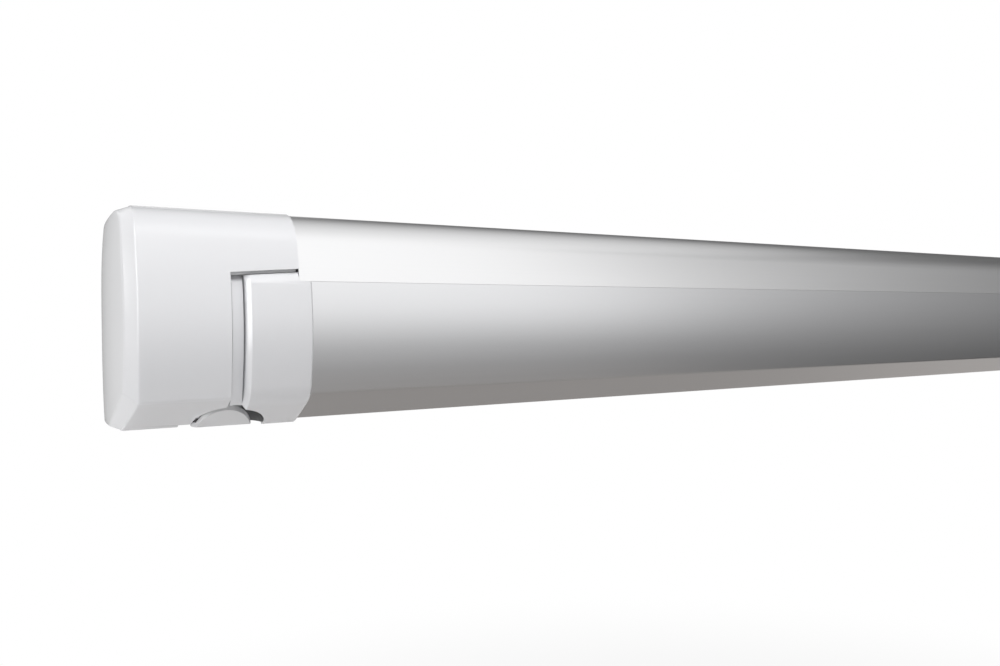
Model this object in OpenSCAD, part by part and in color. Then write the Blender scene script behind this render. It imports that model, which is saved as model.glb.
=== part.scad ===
// Roll out cassette awning for a camper wall, drawn closed: a cranked fabric
// roller, two folding arms and a lead rail with two fold-down legs.
// X runs along the awning, the front faces -Y, +Z is up and the wall is the
// plane y = 0. The origin is on the back of the middle wall bracket.

/* [Cassette] */
// Overall length over the end caps
awning_length = 2600; // [2400:50:3000]
// Height of the closed cassette
cassette_height = 140; // [138:1:150]
// Distance from the wall to the front face
cassette_depth = 140; // [138:1:150]
// Wall of the aluminium extrusions
extrusion_wall = 3; // [2.4:0.1:3.4]
// Radius of the hood where front and top meet
front_top_radius = 32; // [26:1:36]
// Radius of the hood where top and back meet
back_top_radius = 22; // [16:1:26]
// Fall of the hood towards the wall, in degrees
top_slope = 7; // [5:0.5:8]
// Height of the slanted lower front edge
bevel_height = 20; // [16:1:21]
// Depth of the slanted lower front edge
bevel_depth = 38; // [34:1:40]
// Height of the joint between hood and lead rail above the underside
seam_height = 94.5; // [90:0.5:97]
// Gap between hood and lead rail
seam_gap = 0.8; // [0.5:0.1:1.5]
// Reach of the floor flange from the wall
floor_reach = 53; // [46:1:54]

/* [Wall brackets] */
// Thickness of the bracket plate between wall and cassette
bracket_plate = 4; // [3:0.5:5]
// Width of one bracket
bracket_width = 110; // [90:5:140]
// Distance from the end of the awning to the middle of an outer bracket
bracket_inset = 400; // [300:50:600]
// Rise of the bracket above the cassette
bracket_rise = 10; // [8:0.5:14]
// Thickness of the ledge under the cassette
bracket_ledge = 4; // [3:0.5:5]
// Distance between the two wall screws of a bracket
bolt_spacing = 70; // [50:5:80]
// Distance of the wall screws below the top of a bracket
bolt_drop = 10; // [8:0.5:12]
// Radius of a wall screw's hole
bolt_radius = 3.3; // [2.7:0.1:4]

/* [End caps] */
// How far the caps stand proud of the extrusions
cap_proud = 1; // [0.5:0.1:1.5]
// Wall of the end caps
cap_wall = 3; // [2.5:0.1:3.5]
// Thickness of the closed end
cap_end_wall = 4; // [3:0.5:5]
// Bevel round the closed end
cap_end_bevel = 9; // [6:0.5:12]
// Width of the full height part of the cap
cap_body_width = 64; // [60:1:68]
// Width of the cap along the hood
cap_hood_width = 108; // [100:1:116]
// Rise of the cap's lower hood edge over the seam, at the body
notch_rise_near = 5; // [4:0.5:7]
// Rise of the cap's lower hood edge over the seam, at the joint
notch_rise_far = 8.5; // [7:0.5:11]
// Open slit between the cap and the lead rail cap
notch_slit = 2.5; // [1.5:0.1:3.5]
// Thickness of the plate that carries the roller
end_plate_thickness = 8; // [6:0.5:10]
// Distance from the closed end to the carrier plate
end_plate_inset = 28; // [20:1:30]

/* [Roller and fabric] */
// Distance from the front face to the roller's axis
roller_inset = 65; // [64:0.5:67]
// Distance from the top of the cassette to the wound fabric
roll_drop = 10; // [9.5:0.5:14]
// Space between the arms and the wound fabric
roll_lift = 4; // [3.5:0.1:6]
// Thickness of the wound fabric on the roller tube
wound_thickness = 7; // [5:0.5:9]
// Wall of the roller tube
roller_tube_wall = 1.6; // [1.2:0.1:2.5]
// Thickness of the fabric
fabric_thickness = 0.6; // [0.4:0.1:0.8]
// Distance from the end of the awning to the edge of the fabric
fabric_inset = 122; // [116:1:140]
// Radius of the roller's end shafts
roller_shaft_radius = 8; // [6:0.5:9]
// Length of the plug inside each end of the roller tube
plug_length = 40; // [30:1:60]
// Radius of the bead along the front edge of the fabric
bead_radius = 2.5; // [2:0.1:3]

/* [Crank gear] */
// Distance from the front face to the crank's vertical axis
crank_inset = 35.5; // [34.5:0.5:37]
// Distance from the cap's seam to the crank's axis
crank_offset = 1; // [0:0.5:2]
// Radius of the recess round the crank
recess_radius = 23; // [20:0.5:25]
// Radius of the collar round the crank eye
collar_radius = 17.5; // [15:0.5:19]
// Radius of the turning crank boss
boss_radius = 11; // [9:0.5:12]
// Radius of the socket in the crank boss
eye_radius = 6; // [4.5:0.5:7]
// Depth of the socket in the crank boss
eye_depth = 20; // [14:1:24]
// Radius of the crank shaft
crank_shaft_radius = 5; // [4:0.5:6]
// Teeth of the worm wheel
wheel_teeth = 20; // [16:2:24]
// Pitch radius of the worm wheel
wheel_pitch_radius = 20; // [18:0.5:21]
// Width of the worm wheel
wheel_width = 8; // [6:1:10]
// Height of a tooth above and below the pitch line
tooth_height = 1.3; // [0.9:0.1:1.5]
// Running gap between worm and wheel
gear_gap = 0.6; // [0.5:0.1:0.9]
// Length of the worm's thread
worm_length = 30; // [24:1:34]
// Wall of the gearbox
gearbox_wall = 3; // [2:0.5:4]

/* [Arms] */
// Distance from the end of the awning to the shoulder pivot
shoulder_inset = 170; // [165:1:190]
// Distance from the wall to the shoulder pivot
shoulder_setback = 30; // [29:0.5:31]
// Distance from the middle of the awning to the elbow pivot
elbow_clear = 80; // [70:1:120]
// Width of an arm tube
arm_width = 28; // [25:0.5:28.5]
// Height of an arm tube
arm_height = 30; // [28:0.5:30.5]
// Wall of an arm tube
arm_wall = 2.5; // [2:0.1:3]
// Gap between the folded arm tubes
arm_pair_gap = 6; // [5:0.5:7]
// Height of the arms above the underside
arm_floor = 28; // [27.5:0.1:28.5]
// Thickness of a fork plate
fork_plate = 5; // [4:0.5:6]
// Radius of the arm pivots
pivot_radius = 5; // [4:0.5:6]
// Radius of the arm knuckles
knuckle_radius = 13; // [11:0.5:13.5]
// Length of the neck between a knuckle and its arm tube
knuckle_neck = 24; // [20:1:30]
// Length of the neck between an arm tube and its elbow
elbow_neck = 36; // [30:1:44]
// Length of the spigots inside the arm tubes
spigot_length = 30; // [20:1:40]
// Length of the tension spring inside an upper arm
spring_length = 620; // [400:10:700]

/* [Lead rail] */
// Depth of the rail's hollow front panel
panel_depth = 12; // [10:0.5:13]
// Distance from the cap's seam to the face of the lead rail cap
lead_cap_gap = 9; // [7:0.5:11]
// Width of the lead rail cap's face
lead_cap_width = 43; // [38:1:46]
// How far the lead rail cap stands proud
lead_cap_proud = 1.5; // [1:0.1:2]
// How far the strip beside the cap's face lies back
lead_strip_recess = 5; // [3:0.5:6]
// Roof of the leg channel above the underside
channel_roof = 24; // [23:0.1:24.5]
// Wall between the leg channel and the floor flange
rear_lip = 3; // [2:0.5:3.5]

/* [Legs] */
// Width of a leg tube
leg_width = 18; // [15:0.5:18.5]
// Height of a leg tube
leg_height = 17; // [14:0.5:17.5]
// Wall of the leg tubes
leg_wall = 1.5; // [1.2:0.1:1.8]
// Space round a leg in its lane
leg_lane_gap = 1.5; // [1:0.1:1.6]
// Distance from the end of the awning to the leg's hinge
leg_inset = 150; // [145:1:165]
// Distance from the middle of the awning to the end of the outer leg tube
leg_end_clear = 110; // [100:1:160]
// Length of the inner leg tube kept inside the outer one
leg_inner_hidden = 930; // [860:5:980]
// Radius of the leg hinges
leg_pin_radius = 3; // [2.5:0.1:3.5]
// Length of the folding foot
foot_length = 62; // [50:1:66]
// Length of the leg's clamp lever
lever_length = 46; // [36:1:60]

/* [Fits] */
// Radial clearance of pins and shafts
running_fit = 0.05; // [0.03:0.01:0.08]
// Clearance between pieces that slide or pass
pass_gap = 0.3; // [0.25:0.05:0.45]
// Radial clearance of the pivots that close the arm linkage
loose_fit = 0.3; // [0.25:0.05:0.4]

/* [Hidden] */
$fn = 64;
overlap = 0.5;
slice = 0.1;
seat_gap = 0.2;
arc_steps = 10;
half_length = awning_length / 2;
floor_z = -cassette_height / 2;
top_z = cassette_height / 2;
front_y = -cassette_depth;
back_y = -bracket_plate;
seam_z = floor_z + seam_height;
bevel_angle = atan(bevel_height / bevel_depth);

x_end = -half_length;
x_seam = x_end + cap_body_width;
x_joint = x_end + cap_hood_width;
x_lead = x_seam + lead_cap_gap;
x_rail = x_lead + lead_cap_width;
x_plate = x_end + end_plate_inset;
x_crank = x_seam + crank_offset;
x_bracket = half_length - bracket_inset;
bracket_top = top_z + bracket_rise;

arm_z = floor_z + arm_floor;
arm_top = arm_z + arm_height;
roll_low = arm_top + roll_lift;
roll_radius = (top_z - roll_drop - roll_low) / 2;
roller_tube_radius = roll_radius - wound_thickness;
roller_y = front_y + roller_inset;
roller_z = roll_low + roll_radius;
x_tube = x_joint - 6;
crank_y = front_y + crank_inset;
fabric_x = half_length - fabric_inset;
sheet_top = roll_low - pass_gap;
bush_wall = 4;
bush_radius = roller_shaft_radius + bush_wall;

worm_starts = 2;
worm_radius = roller_inset - crank_inset - wheel_pitch_radius - gear_gap;
worm_lead = worm_starts * 2 * PI * wheel_pitch_radius / wheel_teeth;
worm_reach = worm_radius + tooth_height;
wheel_reach = wheel_pitch_radius + tooth_height;
gear_room = 2;
collar_roof = 4;
collar_z = floor_z + 26;
eye_lift = 1;
shaft_seat = 2;

x_shoulder = x_end + shoulder_inset;
y_shoulder = -shoulder_setback;
x_elbow = -elbow_clear;
y_elbow = y_shoulder - (arm_width + arm_pair_gap) / 2;
y_front = y_shoulder - arm_width - arm_pair_gap;
knuckle_z = arm_z + fork_plate + pass_gap;
knuckle_top = arm_top - fork_plate - pass_gap;
fork_margin = 1;
fork_radius = knuckle_radius + fork_margin;
tube_start = x_shoulder + fork_radius + knuckle_neck;
tube_end = x_elbow - fork_radius - elbow_neck;
tube_collar = 6;
pin_foot = 1;
spigot_gap = 0.1;

screw_rows = [-30, -80];
screw_radius = 2;
screw_length = 15;
screw_head = 1.5;
x_screw = x_plate + end_plate_thickness / 2;

panel_y = front_y + panel_depth;
roof_z = floor_z + channel_roof;
flange_gap = 3;
channel_rear = -(floor_reach + flange_gap + rear_lip);
rail_rear = channel_rear + rear_lip;
channel_front = channel_rear - 2 * leg_width - 4 * leg_lane_gap;
lane_front = channel_front + leg_lane_gap + leg_width / 2;
lane_rear = channel_rear - leg_lane_gap - leg_width / 2;
leg_z = roof_z - extrusion_wall - leg_lane_gap - leg_height / 2;
x_leg = x_end + leg_inset;
x_leg_end = -leg_end_clear;
inner_width = leg_width - 2 * leg_wall - 2 * pass_gap;
inner_height = leg_height - 2 * leg_wall - 2 * pass_gap;
x_foot = x_leg_end + 24;
foot_ear = 4;
foot_half = 6;
foot_pin = 2;
foot_lug = leg_width - 2 * leg_wall - 2 * foot_ear;
foot_lug_radius = 5;
lever_thickness = 1.6;
lever_pin = 1.2;
lever_width = 9.4;
x_lever = x_leg_end - 6;
lever_drop = 0.5;
lever_z = leg_z - leg_height / 2 - lever_drop;
groove_floor = 1.5;
groove_y = panel_y + bead_radius + groove_floor;
groove_rib = 2;
bead_gap = 0.9;
groove_half = bead_radius + bead_gap;
lead_top = seam_z - seam_gap;

// Points of an arc in the Y-Z plane
function arc(cy, cz, r, from, to) =
    [
        for (i = [0 : arc_steps])
            let (a = from + (to - from) * i / arc_steps)
            [cy + r * cos(a), cz + r * sin(a)]
    ];

// Closed outline of the cassette, moved inwards by inset
function section(inset) =
    let (
        fy = front_y + front_top_radius,
        fz = top_z - front_top_radius,
        by = back_y - back_top_radius,
        lean = 90 - top_slope,
        fall = (by + back_top_radius * cos(lean)) - (fy + front_top_radius * cos(lean)),
        bz = fz + (front_top_radius - back_top_radius) * sin(lean) - fall * tan(top_slope)
    )
    concat(
        [
            [back_y - inset, floor_z + inset],
            [front_y + bevel_depth + inset * tan(bevel_angle / 2), floor_z + inset],
            [front_y + inset, floor_z + bevel_height + inset * tan(45 - bevel_angle / 2)]
        ],
        arc(fy, fz, front_top_radius - inset, 180, lean),
        arc(by, bz, back_top_radius - inset, lean, 0)
    );

// Two dimensional shape in Y and Z, drawn out along X
module along_x(from, to) {
    translate([from, 0, 0])
        rotate([90, 0, 90])
            linear_extrude(height = to - from)
                children();
}

// Plan shape in X and Y, drawn out upwards
module upwards(from, to) {
    translate([0, 0, from])
        linear_extrude(height = to - from)
            children();
}

// Shape in X and Z, drawn out forwards from the plane y = from
module forwards(from, depth) {
    translate([0, from, 0])
        rotate([90, 0, 0])
            linear_extrude(height = depth)
                children();
}

// Box between two corners
module block(low, high) {
    translate(low)
        cube(high - low);
}

module rod_x(from, to, y, z, r) {
    translate([from, y, z])
        rotate([0, 90, 0])
            cylinder(h = to - from, r = r);
}

module rod_y(x, from, to, z, r) {
    translate([x, from, z])
        rotate([-90, 0, 0])
            cylinder(h = to - from, r = r);
}

module rod_z(x, y, from, to, r) {
    translate([x, y, from])
        cylinder(h = to - from, r = r);
}

// Mirror image of a left hand piece
module right_hand() {
    mirror([1, 0, 0])
        children();
}

// Height of the cap's lower hood edge at a distance along X
function notch_z(x) =
    seam_z + notch_rise_near + (notch_rise_far - notch_rise_near) * (x - x_seam) / (x_joint - x_seam);

module cassette_housing() {
    color("silver")
        along_x(x_joint, -x_joint)
            difference() {
                polygon(section(0));
                polygon(section(extrusion_wall));
                translate([2 * front_y, 2 * floor_z])
                    square([-2 * front_y - floor_reach, seam_z + seam_gap - 2 * floor_z]);
            }
}

module cap_shell() {
    difference() {
        union() {
            hull() {
                along_x(x_end, x_end + slice)
                    polygon(section(cap_end_bevel - cap_proud));
                along_x(x_end + cap_end_bevel, x_end + cap_end_bevel + slice)
                    polygon(section(-cap_proud));
            }
            along_x(x_end + cap_end_bevel, x_joint)
                polygon(section(-cap_proud));
        }
        along_x(x_end + cap_end_wall, x_end + cap_end_bevel + overlap)
            polygon(section(cap_end_bevel + cap_wall));
        along_x(x_end + cap_end_bevel, x_joint + overlap)
            polygon(section(cap_wall));
        block([x_end, back_y, 2 * floor_z], [x_joint + overlap, -back_y, top_z]);
        forwards(-floor_reach, cassette_depth)
            polygon([
                [x_seam, 2 * floor_z],
                [x_joint + overlap, 2 * floor_z],
                [x_joint + overlap, notch_z(x_joint)],
                [x_seam, notch_z(x_seam)]
            ]);
        for (y = screw_rows)
            rod_z(x_screw, y, 2 * floor_z, floor_z + cap_wall + overlap, screw_radius + seat_gap);
    }
}

module end_cap_left() {
    color("whitesmoke")
        difference() {
            cap_shell();
            rod_z(x_crank, crank_y, 2 * floor_z, arm_top, recess_radius);
        }
}

module end_cap_right() {
    color("whitesmoke")
        right_hand()
            cap_shell();
}

// Plate inside an end cap, with a tongue that sits in the cassette
module carrier_plate() {
    tongue_low = floor_z + extrusion_wall;
    tongue_thickness = 5;
    tongue_margin = 2;
    tongue_clear = 8;
    difference() {
        union() {
            along_x(x_plate, x_plate + end_plate_thickness)
                polygon(section(cap_wall + seat_gap));
            block(
                [x_plate + end_plate_thickness - overlap, -floor_reach + tongue_margin, tongue_low],
                [
                    x_shoulder - 2 * fork_radius - tongue_clear,
                    back_y - extrusion_wall - seat_gap,
                    tongue_low + tongue_thickness
                ]
            );
        }
        rod_x(x_plate - 1, x_plate + end_plate_thickness + 1, roller_y, roller_z, bush_radius + running_fit);
        for (y = screw_rows)
            rod_z(x_screw, y, floor_z, floor_z + screw_length + screw_radius, screw_radius + running_fit);
    }
}

module end_plate_left() {
    color("dimgray")
        carrier_plate();
}

module end_plate_right() {
    color("dimgray")
        right_hand()
            carrier_plate();
}

// Bore for the roller's shaft, running past both faces
module roller_shaft_bore(from, to) {
    rod_x(from - 1, to + 1, roller_y, roller_z, roller_shaft_radius + running_fit);
}

module bush() {
    difference() {
        rod_x(x_plate, x_plate + end_plate_thickness, roller_y, roller_z, bush_radius);
        roller_shaft_bore(x_plate, x_plate + end_plate_thickness);
    }
}

module roller_bushes() {
    color("ivory") {
        bush();
        right_hand()
            bush();
    }
}

module screw_pair() {
    for (y = screw_rows) {
        rod_z(x_screw, y, floor_z - cap_proud, floor_z + screw_length, screw_radius);
        rod_z(x_screw, y, floor_z - cap_proud - screw_head, floor_z - cap_proud, 2 * screw_radius);
    }
}

module cap_screws() {
    color("lightgray") {
        screw_pair();
        right_hand()
            screw_pair();
    }
}

module gearbox_housing() {
    margin = gearbox_wall + gear_room;
    low = [x_plate + end_plate_thickness, crank_y - worm_reach - margin, roller_z - wheel_reach - margin];
    high = [
        x_crank + max(worm_reach, wheel_width / 2) + margin,
        roller_y + wheel_reach + margin,
        roller_z + wheel_reach + margin
    ];
    walls = [gearbox_wall, gearbox_wall, gearbox_wall];
    color("gray") {
        difference() {
            block(low, high);
            block(low + walls, high - walls);
            roller_shaft_bore(low[0], high[0]);
            rod_z(x_crank, crank_y, low[2] - 1, high[2] + 1, crank_shaft_radius + running_fit);
        }
        crank_tube(low[2]);
    }
}

// Fixed tube that carries the collar under the gearbox
module crank_tube(top) {
    tube_wall = 4;
    difference() {
        rod_z(x_crank, crank_y, collar_z + collar_roof, top, crank_shaft_radius + tube_wall);
        rod_z(x_crank, crank_y, collar_z, top + 1, crank_shaft_radius + running_fit);
    }
}

// Round surround of the crank eye, cut off along the lower front slope
module crank_collar() {
    color("whitesmoke")
        difference() {
            intersection() {
                rod_z(x_crank, crank_y, floor_z, collar_z + collar_roof, collar_radius);
                along_x(x_end, x_rail)
                    polygon(section(pass_gap));
            }
            rod_z(x_crank, crank_y, floor_z - 1, collar_z, boss_radius + pass_gap);
            rod_z(x_crank, crank_y, floor_z, arm_top, crank_shaft_radius + running_fit);
        }
}

module hood_seal() {
    seal_size = [3, 6];
    seal_lift = 1;
    color("dimgray")
        along_x(x_joint, -x_joint)
            intersection() {
                polygon(section(extrusion_wall));
                translate([front_y + extrusion_wall, seam_z + seam_gap + seal_lift])
                    square(seal_size);
            }
}

// Wall plate with a ledge below and a claw above the cassette
module wall_bracket(x) {
    low = floor_z - bracket_ledge;
    hole_z = bracket_top - bolt_drop;
    ledge_reach = floor_reach - 8;
    claw_reach = 10;
    claw_thickness = 4;
    claw_drop = 24;
    claw_fit = 0.02;
    translate([x - bracket_width / 2, 0, 0])
        difference() {
            along_x(0, bracket_width)
                difference() {
                    union() {
                        translate([back_y, low])
                            square([bracket_plate, bracket_top - low]);
                        translate([-ledge_reach, low])
                            square([ledge_reach, bracket_ledge]);
                        translate([back_y - claw_reach, bracket_top - claw_drop])
                            square([claw_reach + overlap, claw_thickness]);
                    }
                    polygon(section(-claw_fit));
                }
            for (side = [-1, 1])
                rod_y(bracket_width / 2 + side * bolt_spacing / 2, back_y - 1, 1, hole_z, bolt_radius);
        }
}

module wall_bracket_left() {
    color("darkgray")
        wall_bracket(-x_bracket);
}

module wall_bracket_centre() {
    color("darkgray")
        wall_bracket(0);
}

module wall_bracket_right() {
    color("darkgray")
        wall_bracket(x_bracket);
}

// Fork round a pivot: two plates joined by a web that lies behind or in front of it
module fork(x, y, low, web_reach, web_wall) {
    fork_gap = 2;
    side = web_reach > 0 ? 1 : -1;
    web_from = y + side * (fork_radius + fork_gap);
    web_to = y + web_reach;
    difference() {
        union() {
            for (z = [[low, arm_z + fork_plate], [arm_top - fork_plate, arm_top]])
                upwards(z[0], z[1]) {
                    translate([x, y])
                        circle(r = fork_radius);
                    translate([x - fork_radius, min(y, web_to)])
                        square([2 * fork_radius, abs(web_reach)]);
                }
            block(
                [x - fork_radius, min(web_from, web_to), low],
                [x + fork_radius, max(web_from, web_to), arm_top]
            );
            block(
                [x - 2 * fork_radius, min(web_to, web_to - side * web_wall), low],
                [x + 2 * fork_radius, max(web_to, web_to - side * web_wall), arm_top]
            );
        }
        rod_z(x, y, low - 1, arm_top + 1, pivot_radius + running_fit);
    }
}

module shoulder_fork() {
    fork(x_shoulder, y_shoulder, arm_z, back_y - extrusion_wall - y_shoulder, web_wall = 4);
}

module shoulder_bracket_left() {
    color("lightgray")
        shoulder_fork();
}

module shoulder_bracket_right() {
    color("lightgray")
        right_hand()
            shoulder_fork();
}

module pivot_pin(x, y, low) {
    rod_z(x, y, low, arm_top, pivot_radius);
}

module shoulder_pins() {
    color("gray") {
        pivot_pin(x_shoulder, y_shoulder, arm_z - pin_foot);
        right_hand()
            pivot_pin(x_shoulder, y_shoulder, arm_z - pin_foot);
    }
}

module fabric_sheet() {
    color("slategray")
        block(
            [-fabric_x, groove_y + bead_radius + pass_gap, sheet_top - fabric_thickness],
            [fabric_x, roller_y, sheet_top]
        );
}

module roller_tube() {
    color("silver")
        difference() {
            rod_x(x_tube, -x_tube, roller_y, roller_z, roller_tube_radius);
            rod_x(x_tube - 1, -x_tube + 1, roller_y, roller_z, roller_tube_radius - roller_tube_wall);
        }
}

module fabric_roll() {
    color("slategray")
        difference() {
            rod_x(-fabric_x, fabric_x, roller_y, roller_z, roll_radius);
            rod_x(-fabric_x - 1, fabric_x + 1, roller_y, roller_z, roller_tube_radius + running_fit);
        }
}

// End plug of the roller tube with its shaft
module roller_plug() {
    flange = 5;
    shaft_end = 3;
    x_flange = x_tube - running_fit;
    bore = roller_tube_radius - roller_tube_wall - running_fit;
    rod_x(x_flange - overlap, x_tube + plug_length, roller_y, roller_z, bore);
    rod_x(x_tube - flange, x_flange, roller_y, roller_z, roller_tube_radius);
    rod_x(x_plate - shaft_end, x_tube, roller_y, roller_z, roller_shaft_radius);
}

module roller_plug_left() {
    color("dimgray")
        roller_plug();
}

module roller_plug_right() {
    color("dimgray")
        right_hand()
            roller_plug();
}

module worm_wheel() {
    steps = wheel_teeth * 8;
    color("goldenrod")
        difference() {
            along_x(x_crank - wheel_width / 2, x_crank + wheel_width / 2)
                polygon([
                    for (i = [0 : steps - 1])
                        let (
                            a = 360 * i / steps,
                            r = wheel_pitch_radius - tooth_height * cos(wheel_teeth * (a - 180))
                        )
                        [roller_y + r * cos(a), roller_z + r * sin(a)]
                ]);
            roller_shaft_bore(x_crank - wheel_width, x_crank + wheel_width);
        }
}

// Worm with a wavy thread that fits the wheel's wavy rim
module worm_shaft() {
    turn = 360 * worm_length / worm_lead;
    points = 16;
    layers = 40;
    thread_low = roller_z - worm_length / 2;
    thread_top = roller_z + worm_length / 2;
    shaft_top = roller_z + wheel_reach + gearbox_wall;
    color("gray") {
        translate([x_crank, crank_y, thread_low])
            rotate([0, 0, 90 - turn / 2])
                linear_extrude(height = worm_length, twist = -turn, slices = layers, $fn = points)
                    polygon([
                        for (i = [0 : points - 1])
                            let (a = 360 * i / points, r = worm_radius + tooth_height * cos(worm_starts * a))
                            [r * cos(a), r * sin(a)]
                    ]);
        rod_z(x_crank, crank_y, collar_z - shaft_seat, thread_low + overlap, crank_shaft_radius);
        rod_z(x_crank, crank_y, thread_top - overlap, shaft_top, crank_shaft_radius);
    }
}

// Turning boss with the socket for the crank
module crank_boss() {
    color("darkgray")
        difference() {
            rod_z(x_crank, crank_y, floor_z + eye_lift, collar_z - pass_gap, boss_radius);
            rod_z(x_crank, crank_y, floor_z, floor_z + eye_lift + eye_depth, eye_radius);
            rod_z(x_crank, crank_y, collar_z - shaft_seat, collar_z, crank_shaft_radius);
        }
}

// Hollow arm tube between two stations
module arm_tube(y) {
    inner = [tube_end - tube_start + 2, arm_width - 2 * arm_wall, arm_height - 2 * arm_wall];
    difference() {
        block([tube_start, y - arm_width / 2, arm_z], [tube_end, y + arm_width / 2, arm_top]);
        translate([tube_start - 1, y - inner[1] / 2, arm_z + arm_wall])
            cube(inner);
    }
}

// Spigot that fills the end of an arm tube
module spigot(from, to, y) {
    inset = arm_wall + spigot_gap;
    block([from, y - arm_width / 2 + inset, arm_z + inset], [to, y + arm_width / 2 - inset, arm_top - inset]);
}

// Knuckle on a pivot with a shoulder that meets the tube's end
module end_knuckle(y, clearance) {
    neck_half = knuckle_radius - 1;
    x_shoulder_step = x_shoulder + fork_radius + 4;
    difference() {
        union() {
            rod_z(x_shoulder, y, knuckle_z, knuckle_top, knuckle_radius);
            block(
                [x_shoulder, y - neck_half, knuckle_z],
                [x_shoulder_step + overlap, y + neck_half, knuckle_top]
            );
            block([x_shoulder_step, y - arm_width / 2, arm_z], [tube_start, y + arm_width / 2, arm_top]);
            spigot(tube_start - overlap, tube_start + spigot_length, y);
        }
        rod_z(x_shoulder, y, arm_z, arm_top, pivot_radius + clearance);
    }
}

module upper_arm_left() {
    color("gainsboro")
        arm_tube(y_shoulder);
}

module upper_arm_right() {
    color("gainsboro")
        right_hand()
            arm_tube(y_shoulder);
}

module shoulder_knuckle_left() {
    color("darkgray")
        end_knuckle(y_shoulder, running_fit);
}

module shoulder_knuckle_right() {
    color("darkgray")
        right_hand()
            end_knuckle(y_shoulder, running_fit);
}

// Fork at the end of an upper arm, its pivot standing forward of the tube
module elbow_fork() {
    tail = tube_end + 24;
    corner = 60;
    back = y_shoulder + arm_width / 2;
    front = y_shoulder - arm_width / 2;
    difference() {
        union() {
            for (z = [[arm_z, arm_z + fork_plate], [arm_top - fork_plate, arm_top]])
                upwards(z[0], z[1]) {
                    translate([x_elbow, y_elbow])
                        circle(r = fork_radius);
                    polygon([
                        [tube_end, front],
                        [x_elbow - fork_radius, y_elbow + 1],
                        [x_elbow - fork_radius * cos(corner), y_elbow],
                        [x_elbow + fork_radius * cos(corner), y_elbow + fork_radius * sin(corner)],
                        [tail, back],
                        [tube_end, back]
                    ]);
                }
            block([tube_end, front, arm_z], [tail - tube_collar, back, arm_top]);
            spigot(tube_end - spigot_length, tube_end + overlap, y_shoulder);
        }
        rod_z(x_elbow, y_elbow, arm_z - 1, arm_top + 1, pivot_radius + running_fit);
    }
}

module elbow_fork_left() {
    color("darkgray")
        elbow_fork();
}

module elbow_fork_right() {
    color("darkgray")
        right_hand()
            elbow_fork();
}

module elbow_pin_left() {
    color("gray")
        pivot_pin(x_elbow, y_elbow, arm_z - pin_foot);
}

module elbow_pin_right() {
    color("gray")
        right_hand()
            pivot_pin(x_elbow, y_elbow, arm_z - pin_foot);
}

// Tension spring inside the upper arm, drawn as its outer envelope
module arm_spring() {
    spring_radius = arm_width / 2 - arm_wall - pass_gap;
    spring_wire = 4;
    x_spring = tube_start + spigot_length;
    x_spring_end = x_spring + spring_length;
    spring_z = arm_z + arm_height / 2;
    difference() {
        rod_x(x_spring, x_spring_end, y_shoulder, spring_z, spring_radius);
        rod_x(x_spring - 1, x_spring_end + 1, y_shoulder, spring_z, spring_radius - spring_wire);
    }
}

module arm_spring_left() {
    color("dimgray")
        arm_spring();
}

module arm_spring_right() {
    color("dimgray")
        right_hand()
            arm_spring();
}

module forearm_left() {
    color("gainsboro")
        arm_tube(y_front);
}

module forearm_right() {
    color("gainsboro")
        right_hand()
            arm_tube(y_front);
}

// Knuckle inside the elbow fork with a link to the forearm tube
module elbow_knuckle() {
    link_bulge = 4;
    back = y_front + arm_width / 2;
    front = y_front - arm_width / 2;
    difference() {
        union() {
            upwards(knuckle_z, knuckle_top) {
                translate([x_elbow, y_elbow])
                    circle(r = knuckle_radius);
                polygon([
                    [x_elbow - knuckle_radius, y_elbow - 1],
                    [tube_end, back],
                    [tube_end, front],
                    [x_elbow, y_elbow - knuckle_radius - link_bulge],
                    [x_elbow + knuckle_radius, y_elbow]
                ]);
            }
            block([tube_end, front, arm_z], [tube_end + tube_collar, back, arm_top]);
            spigot(tube_end - spigot_length, tube_end + overlap, y_front);
        }
        rod_z(x_elbow, y_elbow, arm_z, arm_top, pivot_radius + running_fit);
    }
}

module elbow_knuckle_left() {
    color("darkgray")
        elbow_knuckle();
}

module elbow_knuckle_right() {
    color("darkgray")
        right_hand()
            elbow_knuckle();
}

module front_knuckle_left() {
    color("darkgray")
        end_knuckle(y_front, running_fit);
}

module front_knuckle_right() {
    color("darkgray")
        right_hand()
            end_knuckle(y_front, loose_fit);
}

// Solid outline of the lead rail: front panel, lower slope and leg channel
module rail_outline() {
    difference() {
        intersection() {
            polygon(section(0));
            translate([front_y, floor_z])
                square([rail_rear - front_y, seam_height]);
        }
        translate([panel_y, roof_z])
            square([cassette_depth, cassette_height]);
        translate([channel_front, floor_z - 1])
            square([channel_rear - channel_front, channel_roof - extrusion_wall + 1]);
    }
}

module lead_rail() {
    bead_z = sheet_top - fabric_thickness / 2;
    hollow_low = floor_z + bevel_height + extrusion_wall;
    color("silver") {
        along_x(x_rail, -x_rail)
            difference() {
                rail_outline();
                translate([front_y + extrusion_wall, hollow_low])
                    square([panel_depth - 2 * extrusion_wall, seam_z - extrusion_wall - hollow_low]);
                polygon([
                    [panel_y, roof_z - extrusion_wall],
                    [panel_y, floor_z + bevel_height - panel_depth * tan(bevel_angle) + extrusion_wall],
                    [channel_front - extrusion_wall, floor_z + extrusion_wall + 1],
                    [channel_front - extrusion_wall, roof_z - extrusion_wall]
                ]);
            }
        for (low = [bead_z - groove_half - groove_rib, bead_z + groove_half])
            block([x_rail, panel_y - overlap, low], [-x_rail, groove_y + bead_radius, low + groove_rib]);
    }
}

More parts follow.
